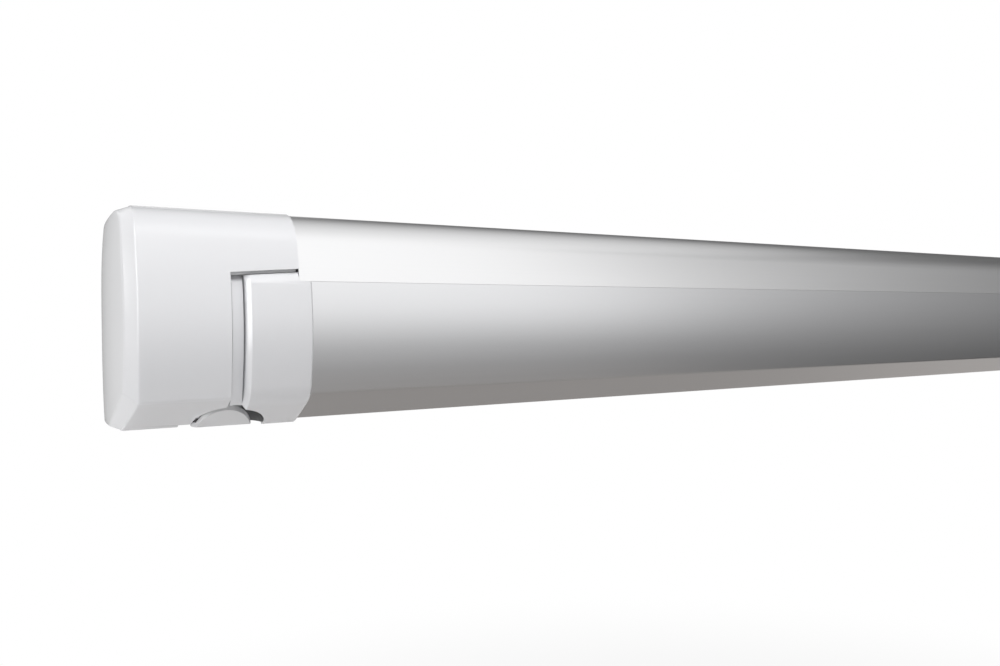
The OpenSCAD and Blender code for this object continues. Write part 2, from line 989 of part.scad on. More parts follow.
module lead_cap_shell() {
    strip_gap = 1.2;
    end_gap = 1.5;
    chamfer = [5, 8];
    edge_chamfer = 4;
    difference() {
        union() {
            along_x(x_lead, x_rail)
                difference() {
                    polygon(section(-lead_cap_proud));
                    translate([panel_y, roof_z])
                        square([cassette_depth, cassette_height]);
                    translate([channel_front, 2 * floor_z])
                        square([cassette_depth, 2 * cassette_height]);
                }
            block(
                [x_seam + strip_gap, front_y + lead_strip_recess, floor_z + bevel_height],
                [x_lead + overlap, panel_y, lead_top]
            );
        }
        along_x(x_lead + cap_wall, x_rail + overlap)
            intersection() {
                polygon(section(cap_wall - lead_cap_proud));
                translate([front_y, floor_z])
                    square([panel_depth - cap_wall, seam_height - cap_wall]);
            }
        forwards(0, 2 * cassette_depth)
            polygon([
                [x_seam, notch_z(x_seam) - notch_slit],
                [x_joint - end_gap, notch_z(x_joint) - notch_slit],
                [x_joint - end_gap, lead_top],
                [x_rail + overlap, lead_top],
                [x_rail + overlap, 2 * top_z],
                [x_seam, 2 * top_z]
            ]);
        along_x(x_lead - overlap, x_rail + overlap)
            polygon([
                [front_y - 2 * lead_cap_proud, lead_top],
                [front_y - lead_cap_proud, lead_top],
                [front_y + chamfer[0], lead_top + chamfer[1]],
                [front_y + chamfer[0], top_z],
                [front_y - 2 * lead_cap_proud, top_z]
            ]);
        translate([x_lead, front_y - lead_cap_proud, 0])
            rotate([0, 0, 45])
                cube([edge_chamfer, edge_chamfer, 4 * cassette_height], center = true);
    }
}

module lead_cap_left() {
    color("whitesmoke")
        difference() {
            lead_cap_shell();
            rod_z(x_crank, crank_y, 2 * floor_z, arm_z, recess_radius);
            block([x_seam, crank_y, 2 * floor_z], [x_crank + recess_radius, 0, arm_z]);
        }
}

module lead_cap_right() {
    color("whitesmoke")
        right_hand()
            lead_cap_shell();
}

module front_fork() {
    web_depth = 12;
    fork(x_shoulder, y_front, roof_z, -(fork_radius + web_depth), web_wall = 6);
}

module front_bracket_left() {
    color("lightgray")
        front_fork();
}

module front_bracket_right() {
    color("lightgray")
        right_hand()
            front_fork();
}

module front_pins() {
    color("gray") {
        pivot_pin(x_shoulder, y_front, roof_z);
        right_hand()
            pivot_pin(x_shoulder, y_front, roof_z);
    }
}

module fabric_bead() {
    color("slategray")
        rod_x(-fabric_x, fabric_x, groove_y, sheet_top - fabric_thickness / 2, bead_radius);
}

// Ear and pin that carry a leg in its lane, beside the leg on the free lane
module leg_hinge(lane, side) {
    ear_thickness = 6;
    ear_near = lane + side * (leg_width / 2 + pass_gap);
    ear_far = ear_near + side * ear_thickness;
    pin_far = lane - side * (leg_width / 2 + leg_lane_gap);
    block(
        [x_leg - leg_height / 2, min(ear_near, ear_far), leg_z - leg_height / 2],
        [x_leg + leg_height / 2, max(ear_near, ear_far), roof_z - extrusion_wall]
    );
    rod_y(x_leg, min(ear_far, pin_far), max(ear_far, pin_far), leg_z, leg_pin_radius);
}

module leg_hinge_left() {
    color("gray")
        leg_hinge(lane_front, 1);
}

module leg_hinge_right() {
    color("gray")
        right_hand()
            leg_hinge(lane_rear, -1);
}

// Outer leg tube with a solid hinge end and a seat for the clamp lever
module leg_outer(lane) {
    core = [leg_width - 2 * leg_wall, leg_height - 2 * leg_wall];
    solid_end = 30;
    lever_half = lever_width / 2 + pass_gap;
    bottom = leg_z - leg_height / 2;
    difference() {
        union() {
            rod_y(x_leg, lane - leg_width / 2, lane + leg_width / 2, leg_z, leg_height / 2);
            block(
                [x_leg, lane - leg_width / 2, bottom],
                [x_leg_end, lane + leg_width / 2, bottom + leg_height]
            );
        }
        translate([x_leg + solid_end, lane - core[0] / 2, leg_z - core[1] / 2])
            cube([x_leg_end - x_leg, core[0], core[1]]);
        rod_y(x_leg, lane - leg_width, lane + leg_width, leg_z, leg_pin_radius + running_fit);
        rod_y(x_lever, lane - lever_half, lane + lever_half, lever_z, lever_pin + pass_gap);
    }
}

// Inner leg tube with a solid lug for the foot
module leg_inner(lane) {
    from = x_leg_end - leg_inner_hidden;
    to = x_foot - 9;
    solid_end = 11;
    side = foot_lug / 2;
    lug_radius = foot_lug_radius;
    difference() {
        union() {
            block(
                [from, lane - inner_width / 2, leg_z - inner_height / 2],
                [to, lane + inner_width / 2, leg_z + inner_height / 2]
            );
            block([to - overlap, lane - side, leg_z - lug_radius], [x_foot, lane + side, leg_z + lug_radius]);
            rod_y(x_foot, lane - side, lane + side, leg_z, lug_radius);
        }
        block(
            [from - 1, lane - inner_width / 2 + leg_wall, leg_z - inner_height / 2 + leg_wall],
            [to - solid_end, lane + inner_width / 2 - leg_wall, leg_z + inner_height / 2 - leg_wall]
        );
        rod_y(x_foot, lane - leg_width, lane + leg_width, leg_z, foot_pin + running_fit);
    }
}

// Foot plate with two ears and its pin
module leg_foot(lane) {
    half = leg_width / 2 - leg_wall;
    low = leg_z - foot_half;
    high = leg_z + foot_half;
    x_pad = x_foot + foot_half + 1;
    for (side = [-1, 1])
        intersection() {
            union() {
                rod_y(x_foot, lane - half, lane + half, leg_z, foot_half);
                block([x_foot, lane - half, low], [x_pad + overlap, lane + half, high]);
            }
            translate([0, lane + side * (foot_lug / 2 + pass_gap + leg_width / 2), 0])
                cube([awning_length, leg_width, cassette_height], center = true);
        }
    rod_y(x_foot, lane - half, lane + half, leg_z, foot_pin);
    block([x_pad, lane - leg_width / 2, low], [x_foot + foot_length, lane + leg_width / 2, high]);
}

// Clamp lever under the end of the outer leg tube, hung on its own barrel
module leg_lever(lane) {
    side = lever_width / 2;
    link = lever_pin / 2;
    face = leg_z - leg_height / 2 - pass_gap;
    rod_y(x_lever, lane - side, lane + side, lever_z, lever_pin);
    block([x_lever - lever_length, lane - side, face - lever_thickness], [x_lever, lane + side, face]);
    block([x_lever - link, lane - side, face - lever_thickness / 2], [x_lever + link, lane + side, lever_z]);
}

module leg_outer_left() {
    color("gainsboro")
        leg_outer(lane_front);
}

module leg_outer_right() {
    color("gainsboro")
        right_hand()
            leg_outer(lane_rear);
}

module leg_inner_left() {
    color("silver")
        leg_inner(lane_front);
}

module leg_inner_right() {
    color("silver")
        right_hand()
            leg_inner(lane_rear);
}

module leg_foot_left() {
    color("dimgray")
        leg_foot(lane_front);
}

module leg_foot_right() {
    color("dimgray")
        right_hand()
            leg_foot(lane_rear);
}

module leg_lever_left() {
    color("dimgray")
        leg_lever(lane_front);
}

module leg_lever_right() {
    color("dimgray")
        right_hand()
            leg_lever(lane_rear);
}

cassette_housing();
end_cap_left();
end_cap_right();
end_plate_left();
end_plate_right();
gearbox_housing();
crank_collar();
roller_bushes();
cap_screws();
hood_seal();
wall_bracket_left();
wall_bracket_centre();
wall_bracket_right();
shoulder_bracket_left();
shoulder_bracket_right();
shoulder_pins();
fabric_sheet();
roller_tube();
fabric_roll();
roller_plug_left();
roller_plug_right();
worm_wheel();
worm_shaft();
crank_boss();
upper_arm_left();
shoulder_knuckle_left();
elbow_fork_left();
elbow_pin_left();
arm_spring_left();
forearm_left();
elbow_knuckle_left();
front_knuckle_left();
upper_arm_right();
shoulder_knuckle_right();
elbow_fork_right();
elbow_pin_right();
arm_spring_right();
forearm_right();
elbow_knuckle_right();
front_knuckle_right();
lead_rail();
lead_cap_left();
lead_cap_right();
front_bracket_left();
front_bracket_right();
front_pins();
leg_hinge_left();
leg_hinge_right();
fabric_bead();
leg_outer_left();
leg_inner_left();
leg_foot_left();
leg_lever_left();
leg_outer_right();
leg_inner_right();
leg_foot_right();
leg_lever_right();
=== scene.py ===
"""Looks of a roll out awning: a closed cassette with white end caps and a satin metal hood.

Every length is in metres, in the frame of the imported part: X along the awning, the front
faces -Y, +Z is up and the wall is the plane y = 0.
"""
import logging
import math
from dataclasses import dataclass
from enum import Enum
from typing import Sequence

import bmesh
import bpy
import numpy as np
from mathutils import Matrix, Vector


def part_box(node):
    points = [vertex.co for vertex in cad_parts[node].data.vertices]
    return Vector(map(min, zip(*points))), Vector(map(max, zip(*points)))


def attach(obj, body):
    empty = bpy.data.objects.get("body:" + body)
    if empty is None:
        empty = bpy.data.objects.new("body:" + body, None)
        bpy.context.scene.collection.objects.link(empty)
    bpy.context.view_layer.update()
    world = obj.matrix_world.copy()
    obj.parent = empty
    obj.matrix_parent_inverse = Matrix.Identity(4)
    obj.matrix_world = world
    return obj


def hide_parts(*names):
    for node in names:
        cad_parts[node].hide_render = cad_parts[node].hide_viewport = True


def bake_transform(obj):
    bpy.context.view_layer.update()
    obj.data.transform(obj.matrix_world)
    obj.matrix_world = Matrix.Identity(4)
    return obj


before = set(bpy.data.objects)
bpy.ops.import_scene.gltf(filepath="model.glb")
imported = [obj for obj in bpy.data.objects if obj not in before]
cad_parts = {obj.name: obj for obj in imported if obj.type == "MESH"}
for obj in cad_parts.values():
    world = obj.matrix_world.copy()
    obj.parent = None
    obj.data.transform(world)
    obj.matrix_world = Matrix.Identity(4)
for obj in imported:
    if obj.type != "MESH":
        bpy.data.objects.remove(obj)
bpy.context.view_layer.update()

log = logging.getLogger("awning")
logging.basicConfig(level=logging.INFO, format="%(name)s: %(message)s")

MM = 0.001

# Points of a new mesh this close are one, and shorter edges than the second value go.
MERGE_DISTANCE = 0.001 * MM
SHORTEST_EDGE = 0.0001 * MM
# Points of a CAD node's loose triangles this close are one.
WELD_DISTANCE = 0.01 * MM
# Above these turns an edge is shaded sharp, is rounded on a new piece, or is rounded on a CAD node.
SHARP_TURN = math.radians(32)
NEW_EDGE_TURN = math.radians(38)
CAD_EDGE_TURN = math.radians(40)
# The radius that an inset leaves at least at a corner that has one.
LEAST_RADIUS = 0.2 * MM
# How far a cutting body reaches past what it cuts.
PAST = 5 * MM
# The value about which a noise swings.
MEAN_NOISE = 0.5
# A Mix node's inputs for two colours, and its colour output.
MIX_FIRST, MIX_SECOND, MIX_RESULT = 6, 7, 2

Colour = tuple[float, float, float]
Place = tuple[float, float, float]
Ramp = tuple[tuple[float, float], ...]


class Side(Enum):
    """The two ends of the awning, by the sign of X."""

    LEFT = -1
    RIGHT = 1

    @property
    def word(self) -> str:
        """The word that the part's names use for this end."""
        return self.name.lower()


class Slot(Enum):
    """The record's material slots."""

    HOOD = "anodised_aluminium"
    CAP = "white_plastic"
    CLOTH = "awning_fabric"
    ARM = "arm_aluminium"


# Shader building


class Signal:
    """A shader socket on which arithmetic is written; each operation adds one Math node."""

    def __init__(self, paint: "Paint", socket: bpy.types.NodeSocket) -> None:
        """Keeps the socket and the node tree that it belongs to."""
        self.paint = paint
        self.socket = socket

    def _math(self, operation: str, first: object, second: object) -> "Signal":
        """A Math node over two values or signals."""
        return self.paint.node("ShaderNodeMath", {"operation": operation}, {0: first, 1: second})

    def __add__(self, other: object) -> "Signal":
        """This plus another."""
        return self._math("ADD", self, other)

    __radd__ = __add__

    def __sub__(self, other: object) -> "Signal":
        """This less another."""
        return self._math("SUBTRACT", self, other)

    def __rsub__(self, other: object) -> "Signal":
        """Another less this."""
        return self._math("SUBTRACT", other, self)

    def __mul__(self, other: object) -> "Signal":
        """This times another."""
        return self._math("MULTIPLY", self, other)

    __rmul__ = __mul__

    def __mod__(self, other: object) -> "Signal":
        """The rest of this over another, never negative."""
        return self._math("FLOORED_MODULO", self, other)

    def __rmod__(self, other: object) -> "Signal":
        """The rest of another over this, never negative."""
        return self._math("FLOORED_MODULO", other, self)

    def __gt__(self, other: object) -> "Signal":
        """One where this is above another, and else nought."""
        return self._math("GREATER_THAN", self, other)

    def __lt__(self, other: object) -> "Signal":
        """One where this is below another, and else nought."""
        return self._math("LESS_THAN", self, other)

    def highest(self, other: object) -> "Signal":
        """The larger of the two."""
        return self._math("MAXIMUM", self, other)


class Paint:
    """A node tree under construction, of a material or of the world."""

    def __init__(self, tree: bpy.types.NodeTree) -> None:
        """Empties the tree.

        Args:
            tree: the node tree to fill.
        """
        self.tree = tree
        tree.nodes.clear()

    def node(
        self,
        kind: str,
        settings: dict[str, object] | None = None,
        sockets: dict[int | str, object] | None = None,
        output: int | str = 0,
    ) -> Signal:
        """Adds any node.

        Args:
            kind: the node's type name.
            settings: properties to set first; "stops" holds a ramp's places and colours.
            sockets: values or signals for the inputs, by name or number.
            output: which output comes back.

        Returns:
            The chosen output as a signal, which is empty for a node without outputs.
        """
        made = self.tree.nodes.new(kind)
        for name, value in (settings or {}).items():
            if name == "stops":
                elements = made.color_ramp.elements
                while len(elements) < len(value):
                    elements.new(1.0)
                for element, (place, colour) in zip(elements, value):
                    element.position = place
                    element.color = colour
            else:
                setattr(made, name, value)
        for key, value in (sockets or {}).items():
            target = made.inputs[key]
            if isinstance(value, Signal):
                self.tree.links.new(value.socket, target)
            else:
                target.default_value = value
        return Signal(self, made.outputs[output]) if made.outputs else Signal(self, None)

    def coords(self) -> Signal:
        """The Object coordinates."""
        return self.node("ShaderNodeTexCoord", output="Object")

    def place(self, scale: float | Sequence[float]) -> Signal:
        """Object coordinates stretched by a scale.

        Args:
            scale: repeats per metre, along all axes or along X, Y and Z.

        Returns:
            The stretched coordinates.
        """
        each = (scale,) * 3 if isinstance(scale, float) else scale
        return self.node("ShaderNodeMapping", sockets={"Vector": self.coords(), "Scale": each})

    def noise(self, scale: float | Sequence[float], detail: float = 2.0) -> Signal:
        """Cloudy values about a half, with features of one over scale metres.

        Args:
            scale: features per metre, along all axes or along X, Y and Z.
            detail: octaves of finer noise.

        Returns:
            The noise value.
        """
        where = self.place(scale)
        return self.node("ShaderNodeTexNoise", sockets={"Vector": where, "Scale": 1.0, "Detail": detail})

    def blend(
        self, share: float | Signal, first: Colour | Signal, second: Colour | Signal, mode: str = "MIX"
    ) -> Signal:
        """Colour between two colours by a share.

        Args:
            share: nought for the first colour and one for the second.
            first: linear colour.
            second: linear colour.
            mode: how the second colour is laid over the first.

        Returns:
            The mixed colour.
        """
        first, second = (end if isinstance(end, Signal) else (*end, 1.0) for end in (first, second))
        settings = {"data_type": "RGBA", "blend_type": mode, "clamp_factor": True}
        sockets = {0: share, MIX_FIRST: first, MIX_SECOND: second}
        return self.node("ShaderNodeMix", settings, sockets, MIX_RESULT)

    def bump(self, height: Signal, depth: float) -> Signal:
        """Normals of a relief.

        Args:
            height: relief from nought to one.
            depth: its real depth in metres.

        Returns:
            The normal.
        """
        return self.node("ShaderNodeBump", sockets={"Height": height, "Distance": depth, "Strength": 1.0})

    def surface(self, **sockets: object) -> None:
        """Ends a material with a Principled shader.

        Args:
            sockets: its inputs, with _ for a space in a name.
        """
        named = {key.replace("_", " "): value for key, value in sockets.items()}
        shader = self.node("ShaderNodeBsdfPrincipled", sockets=named)
        self.node("ShaderNodeOutputMaterial", sockets={"Surface": shader})


def blank_material(name: str) -> tuple[bpy.types.Material, Paint]:
    """A new material without nodes.

    Args:
        name: the material's name.

    Returns:
        The material, and its node tree to paint in.
    """
    made = bpy.data.materials.new(name)
    made.use_nodes = True
    return made, Paint(made.node_tree)


def shade(colour: Colour, factor: float) -> Colour:
    """A colour made lighter or darker by a factor."""
    return tuple(min(1.0, part * factor) for part in colour)


@dataclass(frozen=True)
class Finish:
    """A surface finish, which makes its material once."""

    name: str
    colour: Colour
    roughness: float

    def material(self) -> bpy.types.Material:
        """The finish's material, made at the first call.

        Returns:
            The one material of this finish.
        """
        found = bpy.data.materials.get(self.name)
        if found is None:
            found, paint = blank_material(self.name)
            self.paint(paint)
        return found

    def paint(self, paint: Paint) -> None:
        """Fills the node tree; each kind of finish has its own way."""
        raise NotImplementedError

    def tones(self, paint: Paint, share: Signal, dark: float, light: float) -> Signal:
        """The finish's colour, between two shades of it.

        Args:
            paint: the node tree.
            share: nought for the dark shade and one for the light one.
            dark: the dark shade's factor.
            light: the light shade's factor.

        Returns:
            The colour.
        """
        return paint.blend(share, shade(self.colour, dark), shade(self.colour, light))

    def gloss(self, noise: Signal, swing: float) -> Signal:
        """The roughness, which a noise swings about its mean."""
        return self.roughness + (noise - MEAN_NOISE) * swing


@dataclass(frozen=True)
class DrawnMetal(Finish):
    """Extruded metal: fine lines along X, a satin gloss and a faint cloudiness."""

    line_pitch: float = 0.7 * MM
    line_run: float = 0.4
    line_depth: float = 0.004 * MM
    line_share: float = 0.6
    lines_in_gloss: float = 0.10
    clouds_a_metre: tuple[float, float, float] = (3.0, 9.0, 9.0)
    cloud: float = 0.03

    def paint(self, paint: Paint) -> None:
        """Lines are noise drawn out along X; they vary gloss, tone and relief.

        Args:
            paint: the node tree to fill.
        """
        across = 1.0 / self.line_pitch
        lines = paint.noise((1.0 / self.line_run, across, across), detail=3.0)
        tone = lines * self.line_share + paint.noise(self.clouds_a_metre) * (1 - self.line_share)
        paint.surface(
            Base_Color=self.tones(paint, tone, 1 - self.cloud, 1 + self.cloud),
            Metallic=1.0,
            Roughness=self.gloss(lines, self.lines_in_gloss),
            Normal=paint.bump(lines, self.line_depth),
        )


@dataclass(frozen=True)
class MouldedPlastic(Finish):
    """Injection moulded plastic: a fine grain, a soft gloss and slight sink marks."""

    grain: float = 0.5 * MM
    grain_depth: float = 0.006 * MM
    grain_in_gloss: float = 0.05
    marks_a_metre: float = 14.0
    marks_in_gloss: float = 0.08
    drift: float = 0.012
    coat: float = 1.0
    coat_roughness: float = 0.16
    coat_index: float = 2.0

    def paint(self, paint: Paint) -> None:
        """Grain is fine noise; a slow drift changes tone and gloss a little.

        Args:
            paint: the node tree to fill.
        """
        grain = paint.noise(1.0 / self.grain, detail=1.0)
        slow = paint.noise(self.marks_a_metre)
        paint.surface(
            Base_Color=self.tones(paint, slow, 1 - self.drift, 1 + self.drift),
            Roughness=self.gloss(slow, self.marks_in_gloss) + (grain - MEAN_NOISE) * self.grain_in_gloss,
            Coat_Weight=self.coat,
            Coat_Roughness=self.coat_roughness,
            Coat_IOR=self.coat_index,
            Normal=paint.bump(grain, self.grain_depth),
        )


@dataclass(frozen=True)
class ZincSteel(Finish):
    """Zinc plated or galvanised steel: flat crystal patches of uneven gloss."""

    patch: float = 7.0 * MM
    patch_share: float = 0.7
    patches_in_gloss: float = 0.16
    contrast: float = 0.10
    specks_a_metre: float = 240.0
    speck_depth: float = 0.01 * MM

    def paint(self, paint: Paint) -> None:
        """Patches are Voronoi cells; each has its own tone and gloss.

        Args:
            paint: the node tree to fill.
        """
        where = paint.place(1.0 / self.patch)
        cells = paint.node("ShaderNodeTexVoronoi", sockets={"Vector": where, "Scale": 1.0}, output="Color")
        level = paint.node("ShaderNodeSeparateColor", sockets={"Color": cells})
        specks = paint.noise(self.specks_a_metre, detail=3.0)
        tone = level * self.patch_share + specks * (1 - self.patch_share)
        paint.surface(
            Base_Color=self.tones(paint, tone, 1 - self.contrast, 1 + self.contrast),
            Metallic=1.0,
            Roughness=self.gloss(level, self.patches_in_gloss),
            Normal=paint.bump(specks, self.speck_depth),
        )


@dataclass(frozen=True)
class CastMetal(Finish):
    """Die cast metal under a matt coat: a sandy relief and slightly worn tone."""

    sand: float = 0.9 * MM
    sand_depth: float = 0.03 * MM
    metal: float = 0.6
    worn_spots_a_metre: float = 40.0
    wear: float = 0.06
    wear_in_gloss: float = 0.12

    def paint(self, paint: Paint) -> None:
        """Sand is noise in relief, and the tone follows a slower noise.

        Args:
            paint: the node tree to fill.
        """
        sand = paint.noise(1.0 / self.sand)
        slow = paint.noise(self.worn_spots_a_metre)
        paint.surface(
            Base_Color=self.tones(paint, slow, 1 - self.wear, 1 + self.wear),
            Metallic=self.metal,
            Roughness=self.gloss(slow, self.wear_in_gloss),
            Normal=paint.bump(sand, self.sand_depth),
        )


@dataclass(frozen=True)
class Rubber(Finish):
    """Dull rubber with a fine pitted skin."""

    pits_a_metre: float = 1400.0
    pit_depth: float = 0.03 * MM
    pits_in_gloss: float = 0.1
    dust_a_metre: float = 30.0
    dusty: float = 1.5

    def paint(self, paint: Paint) -> None:
        """Pits are fine noise; dust is slow noise that lightens the colour.

        Args:
            paint: the node tree to fill.
        """
        pits = paint.noise(self.pits_a_metre)
        dust = paint.noise(self.dust_a_metre, detail=3.0)
        paint.surface(
            Base_Color=self.tones(paint, dust, 1.0, self.dusty),
            Roughness=self.gloss(pits, self.pits_in_gloss),
            Normal=paint.bump(pits, self.pit_depth),
        )


@dataclass(frozen=True)
class AwningCloth(Finish):
    """Coated awning cloth: threads and plain stripes that run out from the wall."""

    stripe_colour: Colour = (0.62, 0.63, 0.64)
    stripe_pitch: float = 196.0 * MM
    stripe_width: float = 44.0 * MM
    pin_stripe: float = 7.0 * MM
    thread: float = 1.1 * MM
    thread_run: float = 0.5
    thread_depth: float = 0.08 * MM
    wave_share: float = 0.3
    uneven_in_gloss: float = 0.1
    faded_spots_a_metre: float = 4.0
    shades: tuple[float, float] = (0.86, 1.1)
    sheen: float = 0.15

    def paint(self, paint: Paint) -> None:
        """Stripes are steps over X; threads are a wave over X with uneven strength.

        Args:
            paint: the node tree to fill.
        """
        x = paint.node("ShaderNodeSeparateXYZ", sockets={"Vector": paint.coords()})
        across = (x + self.stripe_pitch / 2) % self.stripe_pitch
        gap = self.stripe_width + self.pin_stripe
        thin = (across > gap) * (across < gap + self.pin_stripe)
        stripe = (across < self.stripe_width).highest(thin)
        wave = paint.node("ShaderNodeMath", {"operation": "SINE"}, {0: x * (2 * math.pi / self.thread)})
        along = 1.0 / self.thread_run
        uneven = paint.noise((1.0 / self.thread, along, along), detail=1.0)
        mean = (uneven + paint.noise(self.faded_spots_a_metre, detail=3.0)) * (1 / 2)
        relief = wave * self.wave_share + uneven * (1 - self.wave_share)
        paint.surface(
            Base_Color=paint.blend(stripe, self.tones(paint, mean, *self.shades), self.stripe_colour),
            Roughness=self.gloss(uneven, self.uneven_in_gloss),
            Normal=paint.bump(relief, self.thread_depth),
            Sheen_Weight=self.sheen,
        )


HOOD_METAL = DrawnMetal("satin_hood_metal", (0.755, 0.755, 0.76), 0.30)
RAIL_METAL = DrawnMetal("satin_rail_metal", (0.67, 0.672, 0.682), 0.30)
TUBE_METAL = DrawnMetal("roller_tube_metal", (0.70, 0.70, 0.71), 0.36)
ARM_METAL = DrawnMetal("arm_tube_metal", (0.78, 0.78, 0.79), 0.42, line_depth=0.002 * MM)
LEG_METAL = DrawnMetal("leg_tube_metal", (0.74, 0.74, 0.75), 0.34)
CAP_PLASTIC = MouldedPlastic("white_cap_plastic", (0.825, 0.828, 0.85), 0.36)
PORT_PLASTIC = MouldedPlastic("crank_port_plastic", (0.80, 0.80, 0.815), 0.36)
# The liner's dark colour is painted shade: it darkens the crank's recess where shade falls.
LINER_SHADE_PLASTIC = MouldedPlastic("crank_cup_plastic", (0.22, 0.22, 0.225), 0.5, coat=0.0)
GEAR_PLASTIC = MouldedPlastic("gearbox_plastic", (0.09, 0.09, 0.095), 0.5, coat=0.0)
BUSH_PLASTIC = MouldedPlastic("bush_plastic", (0.72, 0.69, 0.60), 0.4, coat=0.1)
LEVER_PLASTIC = MouldedPlastic("lever_plastic", (0.10, 0.10, 0.105), 0.45, coat=0.1)
PLATE_STEEL = ZincSteel("plate_steel", (0.52, 0.53, 0.55), 0.42)
PIN_STEEL = ZincSteel("pin_steel", (0.62, 0.62, 0.63), 0.28, patch=2.0 * MM)
SPRING_STEEL = ZincSteel("spring_steel", (0.30, 0.30, 0.31), 0.35, patch=1.5 * MM)
WHEEL_BRASS = ZincSteel("wheel_brass", (0.72, 0.52, 0.22), 0.30, patch=1.0 * MM)
JOINT_CAST = CastMetal("arm_joint_cast", (0.60, 0.60, 0.61), 0.46)
SEAL_RUBBER = Rubber("seal_rubber", (0.03, 0.03, 0.03), 0.7)
FOOT_RUBBER = Rubber("foot_rubber", (0.045, 0.045, 0.047), 0.75)
CLOTH = AwningCloth("awning_cloth", (0.19, 0.205, 0.22), 0.78)


# Mesh building


def unit(vectors: np.ndarray) -> np.ndarray:
    """Vectors brought to length one along the last axis."""
    return vectors / np.linalg.norm(vectors, axis=-1, keepdims=True)


def cross2(first: np.ndarray, second: np.ndarray) -> np.ndarray:
    """The third component of the cross product of plane vectors."""
    return first[..., 0] * second[..., 1] - first[..., 1] * second[..., 0]


@dataclass
class Outline:
    """A closed outline in two axes, mostly Y and Z, with a radius at each corner.

    Its corners run counter-clockwise where it is inset.
    """

    corners: np.ndarray
    radii: np.ndarray

    @classmethod
    def of(cls, *corners: tuple[float, float, float]) -> "Outline":
        """An outline from its corners.

        Args:
            corners: y, z and radius of each corner.

        Returns:
            The outline.
        """
        table = np.array(corners, float)
        return cls(table[:, :2], table[:, 2])

    def inset(self, depth: float | np.ndarray) -> "Outline":
        """The outline with its edges moved inwards.

        A corner moves along its two edges' normals, to where the moved edges cross; outer
        corners lose the mean depth from their radius and inner ones gain it.

        Args:
            depth: how far the edges move, all or each; a negative depth moves them out.

        Returns:
            The new outline.
        """
        after = unit(np.roll(self.corners, -1, 0) - self.corners)
        before = np.roll(after, 1, 0)
        first = np.stack([-before[:, 1], before[:, 0]], 1)
        second = np.stack([-after[:, 1], after[:, 0]], 1)
        later = np.broadcast_to(depth, len(self.corners))
        former = np.roll(later, 1)
        match = (first * second).sum(1)
        along_first = (former - match * later) / (1 - match**2)
        along_second = (later - match * former) / (1 - match**2)
        moved = self.corners + first * along_first[:, None] + second * along_second[:, None]
        turn = np.sign(cross2(before, after))
        smallest = np.minimum(self.radii, LEAST_RADIUS)
        return Outline(moved, np.maximum(self.radii - turn * (former + later) / 2, smallest))

    def points(self, steps: int) -> np.ndarray:
        """Points round the outline, with an arc of its radius at each corner.

        An arc's centre lies on the corner's bisector, radius over the sine of the half angle
        away, and the arc turns from one tangent point to the other.

        Args:
            steps: segments of an arc.

        Returns:
            Points, one row each of y and z.
        """
        before = unit(np.roll(self.corners, 1, 0) - self.corners)
        after = unit(np.roll(self.corners, -1, 0) - self.corners)
        half = 0.5 * np.arccos(np.clip((before * after).sum(1), -1, 1))
        centre = self.corners + unit(before + after) * (self.radii / np.sin(half))[:, None]
        reach = (self.radii / np.tan(half))[:, None]
        start = self.corners + before * reach - centre
        end = self.corners + after * reach - centre
        turn = np.arctan2(cross2(start, end), (start * end).sum(1))
        angle = turn[:, None] * np.linspace(0, 1, steps + 1)[None, :]
        along = start[:, None, :] * np.cos(angle)[..., None]
        normal = np.stack([-start[:, 1], start[:, 0]], 1)
        return (centre[:, None, :] + along + normal[:, None, :] * np.sin(angle)[..., None]).reshape(-1, 2)


def densify(points: np.ndarray, longest: float, like: np.ndarray | None = None) -> np.ndarray:
    """Splits the long sides of a closed outline evenly.

    Args:
        points: rows of y and z.
        longest: no side stays longer than this.
        like: another outline whose sides decide on the counts, so that rings match.

    Returns:
        The points with new ones between them.
    """
    sides = np.roll(points, -1, 0) - points
    judged = sides if like is None else np.roll(like, -1, 0) - like
    parts = np.maximum(1, np.ceil(np.linalg.norm(judged, axis=1) / longest)).astype(int)
    owner = np.repeat(np.arange(len(points)), parts)
    first = np.cumsum(parts) - parts
    share = (np.arange(len(owner)) - first[owner]) / parts[owner]
    return points[owner] + sides[owner] * share[:, None]


def resample(points: np.ndarray, count: int) -> np.ndarray:
    """Points spread evenly along an open line.

    Args:
        points: rows of y and z.
        count: how many to make.

    Returns:
        The new points, with the same ends.
    """
    steps = np.linalg.norm(np.diff(points, axis=0), axis=1)
    along = np.concatenate([[0.0], np.cumsum(steps)])
    wanted = np.linspace(0, along[-1], count)
    return np.stack([np.interp(wanted, along, points[:, axis]) for axis in (0, 1)], 1)


def grid(x: np.ndarray, y: np.ndarray, z: np.ndarray | float) -> np.ndarray:
    """Points by row and column, from coordinates that broadcast against each other."""
    return np.stack(np.broadcast_arrays(x, y, z), -1)


def rectangle(left: float, low: float, right: float, high: float) -> np.ndarray:
    """The four corners of a rectangle in two axes."""
    return np.array([(left, low), (right, low), (right, high), (left, high)])


def rings(outlines: Sequence[np.ndarray], stations: Sequence[float]) -> np.ndarray:
    """Outlines of one count of points, each set at its place along X.

    Args:
        outlines: one array of y and z for each station.
        stations: x of each.

    Returns:
        Points by station and by place round the outline.
    """
    return grid(np.asarray(stations)[:, None], *np.moveaxis(np.stack(outlines), -1, 0))


def turned(profile: np.ndarray, centre: tuple[float, float], angles: np.ndarray) -> np.ndarray:
    """A profile turned about a vertical axis.

    Args:
        profile: rows of radius and z.
        centre: x and y of the axis.
        angles: the turns from +X at which the profile stands.

    Returns:
        Points by angle and by place on the profile.
    """
    radius, z = profile.T
    across, out = np.cos(angles)[:, None], np.sin(angles)[:, None]
    return grid(centre[0] + radius * across, centre[1] + radius * out, z)


